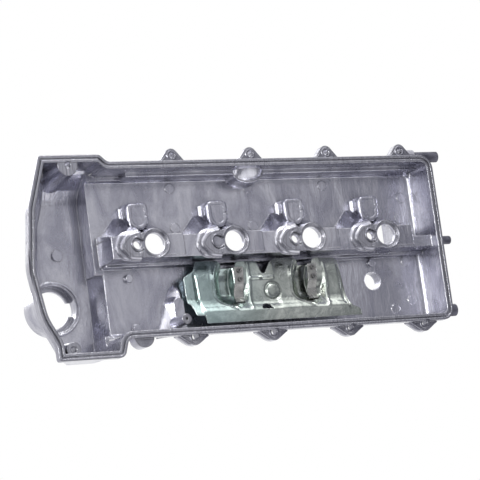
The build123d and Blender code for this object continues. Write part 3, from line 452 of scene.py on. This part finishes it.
class Studio:
    """Pale floor, soft lamps and the camera."""

    def __init__(self, camera: CameraFit) -> None:
        """Keep the camera fit.

        Args:
            camera: The camera.
        """
        self.camera = camera

    def mirrored(self, canvas: NodeCanvas, path: bpy.types.Node) -> bpy.types.NodeSocket:
        """Tell whether a surface is seen in a mirror or through glass.

        Args:
            canvas: Where to add the node.
            path: The light path node.

        Returns:
            1 where it is.
        """
        return canvas.compute("MAXIMUM", path.outputs["Is Glossy Ray"], path.outputs["Is Transmission Ray"])

    def glow(self, canvas: NodeCanvas, direction: bpy.types.NodeSocket, panel: Panel) -> bpy.types.NodeSocket:
        """Give a panel's strength in a direction, from 0 to 1.

        Args:
            canvas: Where to add the nodes.
            direction: The direction.
            panel: The panel.

        Returns:
            The strength.
        """
        facing = canvas.add("ShaderNodeVectorMath", operation="DOT_PRODUCT")
        canvas.link(direction, facing.inputs[0])
        facing.inputs[1].default_value = Vector(panel.direction).normalized()
        glow = canvas.add("ShaderNodeMapRange", interpolation_type="SMOOTHSTEP",
                          From_Min=panel.outer, From_Max=panel.inner)
        canvas.link(facing.outputs["Value"], glow.inputs["Value"])
        return glow.outputs["Result"]

    def floor_material(self) -> bpy.types.Material:
        """Make the floor's material: white from above, and not there when seen from below.

        Returns:
            The material.
        """
        material = bpy.data.materials.new("pale_floor")
        canvas = NodeCanvas(material)
        geometry = canvas.add("ShaderNodeNewGeometry")
        path = canvas.add("ShaderNodeLightPath")
        spot = canvas.add("ShaderNodeSeparateXYZ")
        canvas.link(canvas.add("ShaderNodeTexCoord").outputs["Object"], spot.inputs[0])
        beyond = canvas.compute("MAXIMUM", *(
            canvas.compute("GREATER_THAN", canvas.compute("ABSOLUTE", spot.outputs[axis]), reach)
            for axis, reach in zip("XY", SHADE_REACH)))
        reflected = canvas.compute("MULTIPLY", self.mirrored(canvas, path), beyond)
        looked_at = canvas.compute("MAXIMUM", path.outputs["Is Camera Ray"], reflected)
        above = canvas.compute("SUBTRACT", 1.0, geometry.outputs["Backfacing"])
        clear = canvas.add("ShaderNodeBsdfTransparent")
        paint = canvas.add("ShaderNodeBsdfDiffuse", Color=FLOOR_COLOUR)
        mix = canvas.add("ShaderNodeMixShader")
        canvas.link(canvas.compute("MULTIPLY", above, looked_at), mix.inputs[0])
        canvas.link(clear.outputs[0], mix.inputs[1])
        canvas.link(paint.outputs[0], mix.inputs[2])
        output = canvas.add("ShaderNodeOutputMaterial")
        canvas.link(mix.outputs[0], output.inputs["Surface"])
        return material

    def add_floor(self) -> None:
        """Lay the floor at the gasket plane."""
        bpy.ops.object.select_all(action="DESELECT")
        bpy.ops.mesh.primitive_plane_add(size=FLOOR_SIZE, location=(0.0, 0.0, 0.0))
        floor = bpy.context.object
        floor.name = "floor"
        floor.data.materials.append(self.floor_material())

    def add_world(self) -> None:
        """Surround the cover with soft panels, and a white backdrop behind it."""
        world = bpy.data.worlds.new("studio")
        bpy.context.scene.world = world
        canvas = NodeCanvas(world)
        direction = canvas.add("ShaderNodeTexCoord").outputs["Generated"]
        light = None
        for panel in PANELS:
            tint = canvas.add("ShaderNodeVectorMath", operation="SCALE")
            tint.inputs[0].default_value = [value * panel.strength for value in panel.colour]
            canvas.link(self.glow(canvas, direction, panel), tint.inputs["Scale"])
            added = canvas.add("ShaderNodeVectorMath", operation="ADD")
            added.inputs[0].default_value = ROOM_COLOUR
            if light is not None:
                canvas.link(light, added.inputs[0])
            canvas.link(tint.outputs["Vector"], added.inputs[1])
            light = added.outputs["Vector"]
        path = canvas.add("ShaderNodeLightPath")
        in_mirror = canvas.compute("MULTIPLY", self.mirrored(canvas, path),
                                   self.glow(canvas, direction, BACKDROP))
        white = canvas.compute("MAXIMUM", path.outputs["Is Camera Ray"], in_mirror)
        seen = canvas.add("ShaderNodeMix", data_type="RGBA")
        seen.inputs[7].default_value = WHITE
        canvas.link(white, seen.inputs[0])
        canvas.link(light, seen.inputs[6])
        background = canvas.add("ShaderNodeBackground", Strength=1.0)
        canvas.link(seen.outputs[2], background.inputs["Color"])
        output = canvas.add("ShaderNodeOutputWorld")
        canvas.link(background.outputs[0], output.inputs["Surface"])

    def build(self) -> None:
        """Set the whole stage."""
        self.add_world()
        self.add_floor()
        self.camera.place()
        for lamp in LAMPS:
            lamp.place()
        view = bpy.context.scene.view_settings
        view.view_transform = "Standard"


FIRST_PLUG = (-0.11154, -0.0095)       # the first plug well's axis, in metres
MM = 0.001
MERGE_DISTANCE = 0.00002                # metres
SMOOTH_ANGLE = 60.0                     # edges sharper than this stay sharp, degrees
TURNED_SMOOTH_ANGLE = 50.0
SOFT_SAMPLES = (-1.0, -0.5, 0.0, 0.5, 1.0)


def place(x: float, y: float, z: float) -> Vector:
    """Turn millimetres from the first plug well into metres in the cover's frame.

    Args:
        x: Towards the hose end.
        y: Towards the filler side.
        z: Height over the gasket plane.

    Returns:
        The point.
    """
    return Vector((FIRST_PLUG[0] + x * MM, FIRST_PLUG[1] + y * MM, z * MM))


def eased(value: float) -> float:
    """Ease a value between 0 and 1, clamped."""
    value = min(max(value, 0.0), 1.0)
    return value * value * (3.0 - 2.0 * value)


def along(points: tuple[tuple[float, float], ...], at: float) -> float:
    """Read a polyline.

    Args:
        points: Its corners, in rising order.
        at: Where to read it.

    Returns:
        Its height there.
    """
    if at <= points[0][0]:
        return points[0][1]
    for (x0, y0), (x1, y1) in zip(points, points[1:]):
        if at <= x1:
            return y0 + (y1 - y0) * (at - x0) / (x1 - x0)
    return points[-1][1]


def softened(points: tuple[tuple[float, float], ...], at: float, reach: float = 1.6) -> float:
    """Read a polyline with its corners rounded over reach."""
    return sum(along(points, at + step * reach) for step in SOFT_SAMPLES) / len(SOFT_SAMPLES)


def bell(distance: float, width: float) -> float:
    """Height of a smooth ridge at a distance from its crest."""
    return math.exp(-(distance / width) ** 2)


def select_only(piece: bpy.types.Object) -> None:
    """Select one piece and make it active."""
    bpy.ops.object.select_all(action="DESELECT")
    piece.select_set(True)
    bpy.context.view_layer.objects.active = piece


def ramp(at: float, span: tuple[float, float]) -> float:
    """Rise from 0 to 1, from a start and over a length."""
    return eased((at - span[0]) / span[1])


def fall(at: float, span: tuple[float, float]) -> float:
    """Fall from 1 to 0, to an end and over a length."""
    return eased((span[0] - at) / span[1])


def raised(at: float, bead: tuple[float, float, float]) -> float:
    """Height of a bead, by its offset, width and height."""
    return bead[2] * bell(at - bead[0], bead[1])


def apply_modifier(piece: bpy.types.Object, kind: str, **values) -> None:
    """Add a modifier to a piece and apply it.

    Args:
        piece: The piece.
        kind: Modifier type.
        values: The modifier's settings.
    """
    select_only(piece)
    modifier = piece.modifiers.new(kind.lower(), kind)
    for key, value in values.items():
        setattr(modifier, key, value)
    bpy.ops.object.modifier_apply(modifier=modifier.name)


def shaped_grid(name: str, columns: int, rows: int,
                shape: Callable[[float, float], Vector]) -> bpy.types.Object:
    """Add a grid and lay its vertices on a shape.

    Args:
        name: Name of the piece.
        columns: Faces along the first direction.
        rows: Faces along the second direction.
        shape: Gives a point for two shares from 0 to 1.

    Returns:
        The piece, at the origin.
    """
    bpy.ops.object.select_all(action="DESELECT")
    bpy.ops.mesh.primitive_grid_add(x_subdivisions=columns, y_subdivisions=rows, size=1.0)
    piece = bpy.context.object
    piece.name = name
    for vertex in piece.data.vertices:
        vertex.co = shape(vertex.co.x + 0.5, vertex.co.y + 0.5)
    return piece


def finish_piece(piece: bpy.types.Object, slot: Slot, material: bpy.types.Material,
                 angle: float = SMOOTH_ANGLE) -> None:
    """Smooth a piece, dress it and tie it to the cover.

    Args:
        piece: The piece.
        slot: Not used.
        material: The slot's material.
        angle: Edges sharper than this stay sharp, degrees.
    """
    select_only(piece)
    bpy.ops.object.shade_smooth_by_angle(angle=math.radians(angle))
    piece.data.materials.clear()
    piece.data.materials.append(material)
    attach(piece, "root")
    LOG.info("made %s, %d faces", piece.name, len(piece.data.polygons))


@dataclass(frozen=True)
class BaffleSheet:
    """The pressed oil baffle, as one sheet whose engine side is a smooth height field.

    Sections are pairs of y and height, edges pairs of x and y, all in millimetres from the first
    plug well.  A bead is its offset, its width and its height; a ramp is where it starts and how
    long it is.

    Attributes:
        sheet: Thickness of the sheet.
        columns: Faces along it.
        rows: Faces across it.
        left: Where it starts.
        right: Where it ends.
        repeat: Distance between its two humps.
    """

    sheet: float = 1.2
    columns: int = 300
    rows: int = 104
    left: float = 36.0
    right: float = 246.0
    repeat: float = 95.5
    hump: tuple = ((17.0, 30.0), (39.5, 25.0), (62.0, 23.4), (68.5, 21.4), (73.5, 18.0), (76.5, 17.0),
                   (89.0, 17.0))
    trough: tuple = ((17.0, 27.0), (27.0, 30.5), (33.0, 35.0), (40.0, 37.4), (48.0, 37.8), (56.0, 36.4),
                     (62.0, 32.5), (67.0, 26.0), (72.0, 19.4), (76.5, 17.0), (89.0, 17.0))
    saddle: tuple = ((17.0, 27.6), (26.0, 27.0), (45.0, 27.0), (53.0, 31.0), (61.0, 30.0), (68.0, 24.0),
                     (74.0, 18.4), (76.5, 17.0), (89.0, 17.0))
    web: tuple = ((17.0, 28.0), (23.0, 26.6), (34.0, 25.6), (60.0, 24.8), (68.0, 22.8), (74.0, 18.2),
                  (76.5, 17.0), (89.0, 17.0))
    tab: tuple = ((30.0, 26.5), (60.0, 25.2), (70.0, 21.0), (76.5, 18.0), (80.0, 17.0), (89.0, 17.0))
    lip: tuple = ((17.0, 79.0), (28.0, 73.5), (40.0, 69.8), (58.0, 69.2), (65.0, 73.0), (70.0, 83.0),
                  (75.0, 92.0), (77.0, 95.0))
    top: tuple = ((36.0, 36.0), (39.5, 34.0), (48.0, 29.5), (50.0, 26.0), (54.0, 18.6), (56.0, 18.2),
                  (78.5, 18.4), (82.0, 20.5), (85.0, 27.0), (99.0, 27.4), (101.5, 22.0), (104.0, 19.8),
                  (124.0, 20.4), (127.0, 22.5), (131.0, 34.0), (133.5, 35.0), (136.0, 34.0), (142.5, 23.0),
                  (149.0, 19.0), (153.0, 18.2), (174.0, 18.4), (177.5, 20.5), (180.5, 27.0), (194.5, 27.4),
                  (197.0, 22.0), (200.0, 19.4), (226.0, 20.4), (230.0, 23.0), (231.5, 60.0), (232.5, 72.0),
                  (236.0, 77.0), (243.0, 79.8), (246.0, 83.0))
    bottom: tuple = ((36.0, 64.0), (39.5, 67.0), (41.0, 72.0), (41.8, 79.4), (52.2, 79.8), (53.4, 88.4),
                     (246.0, 88.4))
    hole: tuple[float, float, float] = (129.8, 75.6, 6.6)
    hole_edge: tuple[float, float] = (0.45, 0.1)
    dome: tuple[float, float, float] = (142.0, 54.6, 8.4)
    dome_height: float = 2.8
    dome_ring: tuple[float, float, float] = (0.8, 1.0, 0.8)
    lip_soft: float = 2.5
    tab_ramp: tuple[float, float] = (49.0, 4.5)
    tab_groove: tuple[float, float] = (1.5, 2.4)
    groove_ramps: tuple = ((30.0, 5.0), (68.0, 6.0))
    fade_ramp: tuple[float, float] = (76.0, 5.0)
    trough_x: float = 84.0
    least_ramp: float = 3.0
    lip_beads: tuple = ((1.0, 1.9, 1.5), (7.5, 1.6, 0.9))
    saddle_ramp: tuple[float, float] = (94.5, 3.5)
    land_ramp: tuple[float, float] = (110.0, 4.5)
    land_bead: tuple[float, float, float] = (115.0, 1.7, 1.0)
    land_lean: float = 3.0
    lean_ramp: tuple[float, float] = (40.0, 30.0)
    web_ramp: tuple[float, float] = (145.0, 6.0)
    rib_span: tuple[float, float] = (114.0, 146.5)
    rib_ramp: float = 2.0
    rib_bead: tuple[float, float, float] = (39.6, 1.5, 1.6)
    end_bead: tuple[float, float, float] = (229.5, 2.2, 1.2)

    def height(self, x: float, y: float) -> float:
        """Height of the sheet's engine side.

        Args:
            x: Millimetres from the first plug well.
            y: Millimetres from the row of plug wells.

        Returns:
            The height in millimetres.
        """
        hump, trough = softened(self.hump, y), softened(self.trough, y)
        saddle, web = softened(self.saddle, y), softened(self.web, y)
        lip = softened(self.lip, y, self.lip_soft)
        level = softened(self.tab, y)
        level += (hump - level) * ramp(x, self.tab_ramp)
        groove = ramp(y, self.groove_ramps[0]) * fall(y, self.groove_ramps[1])
        level += self.tab_groove[1] * bell(x - self.tab_ramp[0], self.tab_groove[0]) * groove
        fade = fall(y, self.fade_ramp)
        lean = self.land_lean * ramp(y, self.lean_ramp)
        for shift, land in ((0.0, web), (self.repeat, hump)):
            edge = lip + shift
            reach = max(self.trough_x + shift - edge, self.least_ramp)
            level += (trough - level) * eased((x - edge) / reach)
            level -= fade * sum(raised(x - edge, bead) for bead in self.lip_beads)
            level += (saddle - level) * ramp(x - shift, self.saddle_ramp)
            level += (land - level) * ramp(x - shift + lean, self.land_ramp)
            level -= fade * raised(x - shift + lean, self.land_bead)
            if shift == 0.0:
                level += (hump - level) * ramp(x, self.web_ramp)
        first, last = self.rib_span
        level -= ramp(x, (first, self.rib_ramp)) * fall(x, (last, self.rib_ramp)) * raised(y, self.rib_bead)
        away = math.hypot(x - self.dome[0], y - self.dome[1])
        level -= self.dome_height * math.sqrt(max(1.0 - (away / self.dome[2]) ** 2, 0.0))
        level += raised(away - self.dome[2], self.dome_ring)
        level += fade * raised(x, self.end_bead)
        return level

    def point(self, across: float, down: float) -> Vector:
        """Point of the sheet for two shares of its outline."""
        x = self.left + (self.right - self.left) * across
        low, high = along(self.top, x), along(self.bottom, x)
        y = low + (high - low) * down
        dx, dy = x - self.hole[0], y - self.hole[1]
        away = math.hypot(dx, dy)
        if y < self.hole[1] and 0.0 < away and abs(away - self.hole[2]) < self.hole_edge[0]:
            x, y = self.hole[0] + dx * self.hole[2] / away, self.hole[1] + dy * self.hole[2] / away
        return place(x, y, self.height(x, y))

    def build(self, material: bpy.types.Material) -> None:
        """Press the sheet, cut its drain hole and put it in the baffle's place.

        Args:
            material: The plated sheet's material.
        """
        sheet = shaped_grid("pressed_baffle", self.columns, self.rows, self.point)
        centre = place(self.hole[0], self.hole[1], 0.0)
        bpy.ops.object.mode_set(mode="EDIT")
        bpy.ops.mesh.select_mode(type="FACE")
        bpy.ops.mesh.select_all(action="DESELECT")
        bpy.ops.object.mode_set(mode="OBJECT")
        for face in sheet.data.polygons:
            offset = face.center.xy - centre.xy
            face.select = offset.y < 0.0 and offset.length < (self.hole[2] - self.hole_edge[1]) * MM
        bpy.ops.object.mode_set(mode="EDIT")
        bpy.ops.mesh.delete(type="FACE")
        bpy.ops.mesh.select_all(action="SELECT")
        bpy.ops.mesh.flip_normals()
        bpy.ops.object.mode_set(mode="OBJECT")
        apply_modifier(sheet, "SOLIDIFY", thickness=self.sheet * MM, offset=-1.0)
        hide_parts("baffle_plate")
        finish_piece(sheet, Slot.SHEET, material, TURNED_SMOOTH_ANGLE)


def close_mesh(piece: bpy.types.Object) -> None:
    """Merge a mesh's doubled vertices and make its faces point outwards.

    Args:
        piece: The piece.
    """
    select_only(piece)
    bpy.ops.object.mode_set(mode="EDIT")
    bpy.ops.mesh.select_mode(type="VERT")
    bpy.ops.mesh.select_all(action="SELECT")
    bpy.ops.mesh.remove_doubles(threshold=MERGE_DISTANCE)
    bpy.ops.mesh.normals_make_consistent(inside=False)
    bpy.ops.object.mode_set(mode="OBJECT")


def lathe(name: str, centre: tuple[float, float], profile: tuple[tuple[float, float], ...],
          steps: int = 48) -> bpy.types.Object:
    """Turn a closed profile about a vertical axis.

    Args:
        name: Name of the piece.
        centre: The axis, in millimetres from the first plug well.
        profile: Closed outline as radius and height.
        steps: Facets round the axis.

    Returns:
        The ring.
    """
    count = len(profile)

    def shape(turn: float, share: float) -> Vector:
        """Point of the ring."""
        radius, z = profile[round(share * count) % count]
        angle = math.tau * turn
        return place(centre[0] + radius * math.cos(angle), centre[1] + radius * math.sin(angle), z)

    ring = shaped_grid(name, steps, count, shape)
    close_mesh(ring)
    return ring


TANGENT_STEP = 0.01
END_SHARE = 0.001


def at_end(way: float) -> bool:
    """Tell whether a share of a way is one of its ends."""
    return way < END_SHARE or way > 1.0 - END_SHARE


@dataclass(frozen=True)
class SweptForm:
    """A closed section swept along a path that repeats at every plug well.

    Attributes:
        name: What the pieces are called.
        path: Its points, in millimetres from the plug well.
        section: Closed outline as distance out from the path, and height.
        side: 1 where out lies left of the way along the path, otherwise -1.
        shift: How far from the plug well it lies, along the wells.
        soft: How far the corners of the path are rounded, in points.
        steps: Faces along the path.
    """

    name: str
    path: tuple[tuple[float, float], ...]
    section: tuple[tuple[float, float], ...]
    side: float = 1.0
    shift: float = 0.0
    soft: float = 0.6
    steps: int = 72

    def spot(self, share: float) -> tuple[float, float]:
        """Read the path at a share of its length."""
        at = share * (len(self.path) - 1)
        turns = (tuple((index, point[axis]) for index, point in enumerate(self.path)) for axis in (0, 1))
        return tuple(softened(turn, at, self.soft) for turn in turns)

    def build(self, number: int, well: float, material: bpy.types.Material) -> None:
        """Add the form at one well.

        Args:
            number: Number of the piece.
            well: Where the well lies.
            material: The casting's material.
        """
        count = len(self.section)

        def shape(way: float, turn: float) -> Vector:
            """Point of the swept form."""
            x, y = self.spot(way)
            x0, y0 = self.spot(max(way - TANGENT_STEP, 0.0))
            x1, y1 = self.spot(min(way + TANGENT_STEP, 1.0))
            length = math.hypot(x1 - x0, y1 - y0) or 1.0
            out, z = self.section[round(turn * count) % count]
            if at_end(way):
                out, z = (sum(corner[axis] for corner in self.section) / count for axis in (0, 1))
            out *= self.side / length
            return place(well + self.shift + x - out * (y1 - y0), y + out * (x1 - x0), z)

        piece = shaped_grid(f"{self.name}_{number}", self.steps, count, shape)
        close_mesh(piece)
        finish_piece(piece, Slot.CAST, material)


def arc_points(centre: tuple[float, float], radius: float, first: float, last: float,
               count: int) -> tuple[tuple[float, float], ...]:
    """Give points of an arc, angles in degrees."""
    angles = [math.radians(first + (last - first) * index / (count - 1)) for index in range(count)]
    return tuple((centre[0] + radius * math.cos(angle), centre[1] + radius * math.sin(angle))
                 for angle in angles)


def step_section(z: float) -> tuple[tuple[float, float], ...]:
    """Give the section of a soft step down from height z."""
    drops = ((-2.4, -0.04), (-1.2, -0.12), (-0.1, 0.1), (0.8, 0.75), (1.6, 1.5), (2.5, 1.95), (3.6, 2.05),
             (3.6, 3.0), (-2.4, 3.0))
    return tuple((out, z + drop) for out, drop in drops)


BLOCK_ARC = (-9.5, -30.0)
EAR_OFFSET = 31.5
EAR_SECTION = ((-2.6, 8.7), (-1.8, 8.3), (-0.8, 8.4), (-0.1, 9.1), (0.3, 10.4), (0.4, 17.0), (0.2, 20.0),
               (-2.6, 23.0))
SWEPT_FORMS = (
    SweptForm("block_foot",
              ((-21.8, -47.5), (-21.8, -41.0), (-21.8, -35.0)) + arc_points(BLOCK_ARC, 12.3, 180, 60, 9),
              ((-1.0, 38.2), (0.0, 38.8), (0.2, 40.0), (0.8, 41.1), (1.7, 41.8), (2.7, 42.2), (2.7, 43.4),
               (-1.0, 43.4))),
    SweptForm("block_brow",
              ((1.5, -34.0), (1.5, -40.0), (1.2, -46.2), (-9.5, -46.5), (-20.2, -46.2), (-20.5, -40.0),
               (-20.5, -34.0)) + arc_points(BLOCK_ARC, 11.0, 180, 0, 11) + ((1.5, -34.0),),
              ((-4.2, 24.1), (-2.6, 23.6), (-1.0, 23.5), (0.3, 23.8), (1.1, 24.6), (1.5, 25.8), (1.55, 28.0),
               (1.3, 31.0), (0.8, 34.5), (-1.0, 34.5), (-4.2, 26.0)), soft=0.4, steps=110),
    SweptForm("pad_step",
              ((-16.0, -13.2), (-32.0, -11.6), (-39.5, -8.8), (-43.5, -2.6), (-46.0, 2.8), (-43.8, 7.4),
               (-39.5, 13.4), (-32.0, 14.8), (-16.0, 15.1)), step_section(10.0)),
    SweptForm("seat_step",
              ((-16.0, -13.2), (-26.0, -11.2), (-32.6, -8.6), (-38.0, -2.0), (-41.4, 2.8), (-38.0, 7.0),
               (-32.6, 13.2), (-26.0, 14.9), (-16.0, 15.1)), step_section(8.0)),
    SweptForm("ear_edge_a",
              ((-21.0, -86.5), (-13.5, -90.5), (-9.0, -94.2), (-6.4, -98.0), (-3.4, -101.0), (0.0, -102.0),
               (3.4, -101.0), (6.4, -98.0), (9.0, -94.2), (13.5, -90.5), (18.0, -87.5)),
              EAR_SECTION, side=-1.0, shift=EAR_OFFSET),
    SweptForm("ear_edge_b",
              ((-21.0, 100.5), (-14.0, 104.6), (-9.0, 108.4), (-4.8, 110.9), (0.0, 111.8), (4.8, 110.9),
               (9.0, 108.4), (14.0, 104.6), (18.0, 102.5)), EAR_SECTION, shift=EAR_OFFSET),
)


@dataclass(frozen=True)
class CastDetails:
    """Small forms of the casting: fillets, lips and rounded ribs that lie on its surfaces."""

    wells: tuple[float, ...] = (0.0, 96.0, 192.0, 288.0)
    lip_radius: float = 15.6
    stud_x: float = -21.0
    stud_lip: float = 7.3
    lip_height: float = 0.7
    lip_width: float = 0.9
    lip_section: tuple = ((-1.3, 0.4), (-0.9, -0.35), (-0.2, -1.0), (0.5, -0.85), (1.0, -0.1), (1.3, 0.5))
    lip_steps: int = 120
    pad_z: float = 8.0
    ear_ys: tuple[float, float] = (-95.3, 103.5)
    ear_profile: tuple = ((3.4, 9.4), (3.4, 8.0), (3.8, 7.5), (5.0, 7.4), (5.8, 7.9), (6.3, 8.7),
                          (6.3, 9.4))
    shelf_ends: tuple[float, float] = (-20.0, 349.0)
    shelf_end: tuple[float, float] = (-78.0, 33.0)
    bow_x: float = 128.5
    shelf_edge: float = -76.3
    shelf_root: float = -82.5
    shelf_steps: int = 520
    shelf_face: tuple = ((-1.5, 21.4), (-0.9, 20.8), (-0.1, 20.7), (0.5, 21.3), (0.7, 22.6), (0.9, 34.0),
                         (1.6, 40.2), (3.0, 42.2), (3.0, 43.4))
    bow_depth: float = 9.9
    bow_half: float = 18.0
    rib_start: float = 41.5
    rib_end: float = 98.0
    rib_left: tuple = ((41.5, 29.0), (43.0, 26.5), (46.0, 23.0), (57.7, 18.0), (60.9, 16.6), (78.0, 10.0),
                       (87.7, 6.3), (98.0, 2.5))
    rib_right: tuple = ((41.5, 29.5), (43.0, 31.0), (46.0, 33.0), (51.0, 34.0), (60.0, 33.0), (70.0, 31.5),
                        (98.0, 31.0))
    rib_height: tuple = ((41.5, 0.3), (44.0, 3.5), (49.0, 6.5), (60.0, 9.5), (75.0, 12.0), (98.0, 14.0))
    rib_floor: float = 42.6
    rib_soft: float = 1.5
    rib_crest: float = 0.75
    rib_round: float = 0.8
    rib_overhang: float = 3.0
    rib_faces: tuple[int, int] = (64, 72)
    rib_sheet: float = 1.2

    def keyhole(self, share: float) -> tuple[float, float, float]:
        """Walk round the keyhole outline of a plug well and its stud.

        Args:
            share: Share of the way round.

        Returns:
            x and y of the outline and the angle of its outward normal.
        """
        distance = abs(self.stud_x)
        reach = (distance ** 2 + self.lip_radius ** 2 - self.stud_lip ** 2) / (2.0 * distance)
        well_open = math.acos(reach / self.lip_radius)
        stud_open = math.acos((distance - reach) / self.stud_lip)
        long_arc = self.lip_radius * (math.tau - 2.0 * well_open)
        short_arc = self.stud_lip * (math.tau - 2.0 * stud_open)
        way = share * (long_arc + short_arc)
        if way <= long_arc:
            angle = -math.pi + well_open + way / self.lip_radius
            return self.lip_radius * math.cos(angle), self.lip_radius * math.sin(angle), angle
        angle = stud_open + (way - long_arc) / self.stud_lip
        return self.stud_x + self.stud_lip * math.cos(angle), self.stud_lip * math.sin(angle), angle

    def lips(self, material: bpy.types.Material) -> None:
        """Raise a lip round each plug well and its stud.

        Args:
            material: The casting's material.
        """
        section = self.lip_section
        for number, well in enumerate(self.wells, 1):

            def shape(share: float, turn: float) -> Vector:
                """Point of the lip."""
                x, y, angle = self.keyhole(share % 1.0)
                out, drop = section[round(turn * len(section)) % len(section)]
                out *= self.lip_width
                return place(well + x + out * math.cos(angle), y + out * math.sin(angle),
                             self.pad_z + drop * self.lip_height)

            lip = shaped_grid(f"well_lip_{number}", self.lip_steps, len(section), shape)
            close_mesh(lip)
            finish_piece(lip, Slot.CAST, material)

    def ear_bosses(self, material: bpy.types.Material) -> None:
        """Put a rounded boss round the hole of each bolt ear.

        Args:
            material: The casting's material.
        """
        for number, well in enumerate(self.wells, 1):
            for side, y in zip("ab", self.ear_ys):
                boss = lathe(f"ear_boss_{side}{number}", (well + EAR_OFFSET, y), self.ear_profile)
                finish_piece(boss, Slot.CAST, material, TURNED_SMOOTH_ANGLE)

    def shelf(self, material: bpy.types.Material) -> None:
        """Lay the shelf along the plain side's wall, bowed round the bolt bosses.

        Args:
            material: The casting's material.
        """
        first, last = self.shelf_ends

        def shape(way: float, turn: float) -> Vector:
            """Point of the shelf."""
            x = first + (last - first) * way
            bow = math.sqrt(max(1.0 - ((x - self.bow_x) / self.bow_half) ** 2, 0.0))
            edge = self.shelf_edge + self.bow_depth * bow
            section = ((self.shelf_root, 19.5 - 9.0 * bow), (edge - 5.0 - 2.0 * bow, 20.4 - 6.0 * bow),
                       (edge - 2.4, 21.2 - bow), *((edge + out, z) for out, z in self.shelf_face),
                       (self.shelf_root, self.shelf_face[-1][1]))
            y, z = section[round(turn * len(section)) % len(section)]
            if at_end(way):
                y, z = self.shelf_end
            return place(x, y, z)

        shelf = shaped_grid("gallery_shelf", self.shelf_steps, len(self.shelf_face) + 4, shape)
        close_mesh(shelf)
        finish_piece(shelf, Slot.CAST, material)

    def tongue(self, material: bpy.types.Material) -> None:
        """Swell a rounded rib out of the gallery floor towards the filler side's wall.

        Args:
            material: The casting's material.
        """
        def shape(side: float, way: float) -> Vector:
            """Point of the rib."""
            y = self.rib_start + (self.rib_end - self.rib_start) * way
            left = softened(self.rib_left, y, self.rib_soft)
            right = softened(self.rib_right, y, self.rib_soft)
            height = softened(self.rib_height, y, self.rib_soft)
            if side < self.rib_crest:
                share = side / self.rib_crest
                rise = math.sin(share * math.pi / 2.0) ** self.rib_round
                return place(left + (right - left) * share, y, self.rib_floor - height * rise)
            angle = (side - self.rib_crest) / (1.0 - self.rib_crest) * math.pi / 2.0
            return place(right + self.rib_overhang * math.sin(angle), y,
                         self.rib_floor - height * math.cos(angle))

        rib = shaped_grid("gallery_rib", *self.rib_faces, shape)
        apply_modifier(rib, "SOLIDIFY", thickness=self.rib_sheet * MM, offset=0.0)
        close_mesh(rib)
        finish_piece(rib, Slot.CAST, material)

    def build(self, material: bpy.types.Material) -> None:
        """Add all the small cast forms.

        Args:
            material: The casting's material.
        """
        self.lips(material)
        self.ear_bosses(material)
        self.shelf(material)
        self.tongue(material)
        for form in SWEPT_FORMS:
            for number, well in enumerate(self.wells, 1):
                form.build(number, well, material)


def dress_cad() -> dict[str, bpy.types.Material]:
    """Give every CAD node its procedural material.

    Returns:
        The material of each slot.
    """
    finishes = {Slot.CAST: CAST, Slot.SHEET: SHEET, Slot.STRAP: STRAP, Slot.SCREW: SCREW, Slot.PIPE: PIPE}
    built = {slot.value: MetalShader(finish).build() for slot, finish in finishes.items()}
    slots = {part["node"]: part["material_slot"] for part in frame["record"]["subparts"]}
    for name, node in frame["nodes"].items():
        node.data.materials.clear()
        node.data.materials.append(built[slots[name]])
        LOG.info("dressed %s", name)
    return built


def main() -> None:
    """Build the scene."""
    materials = dress_cad()
    BaffleSheet().build(materials[Slot.SHEET.value])
    CastDetails().build(materials[Slot.CAST.value])
    Studio(CameraFit()).build()


if __name__ == "__main__":
    main()
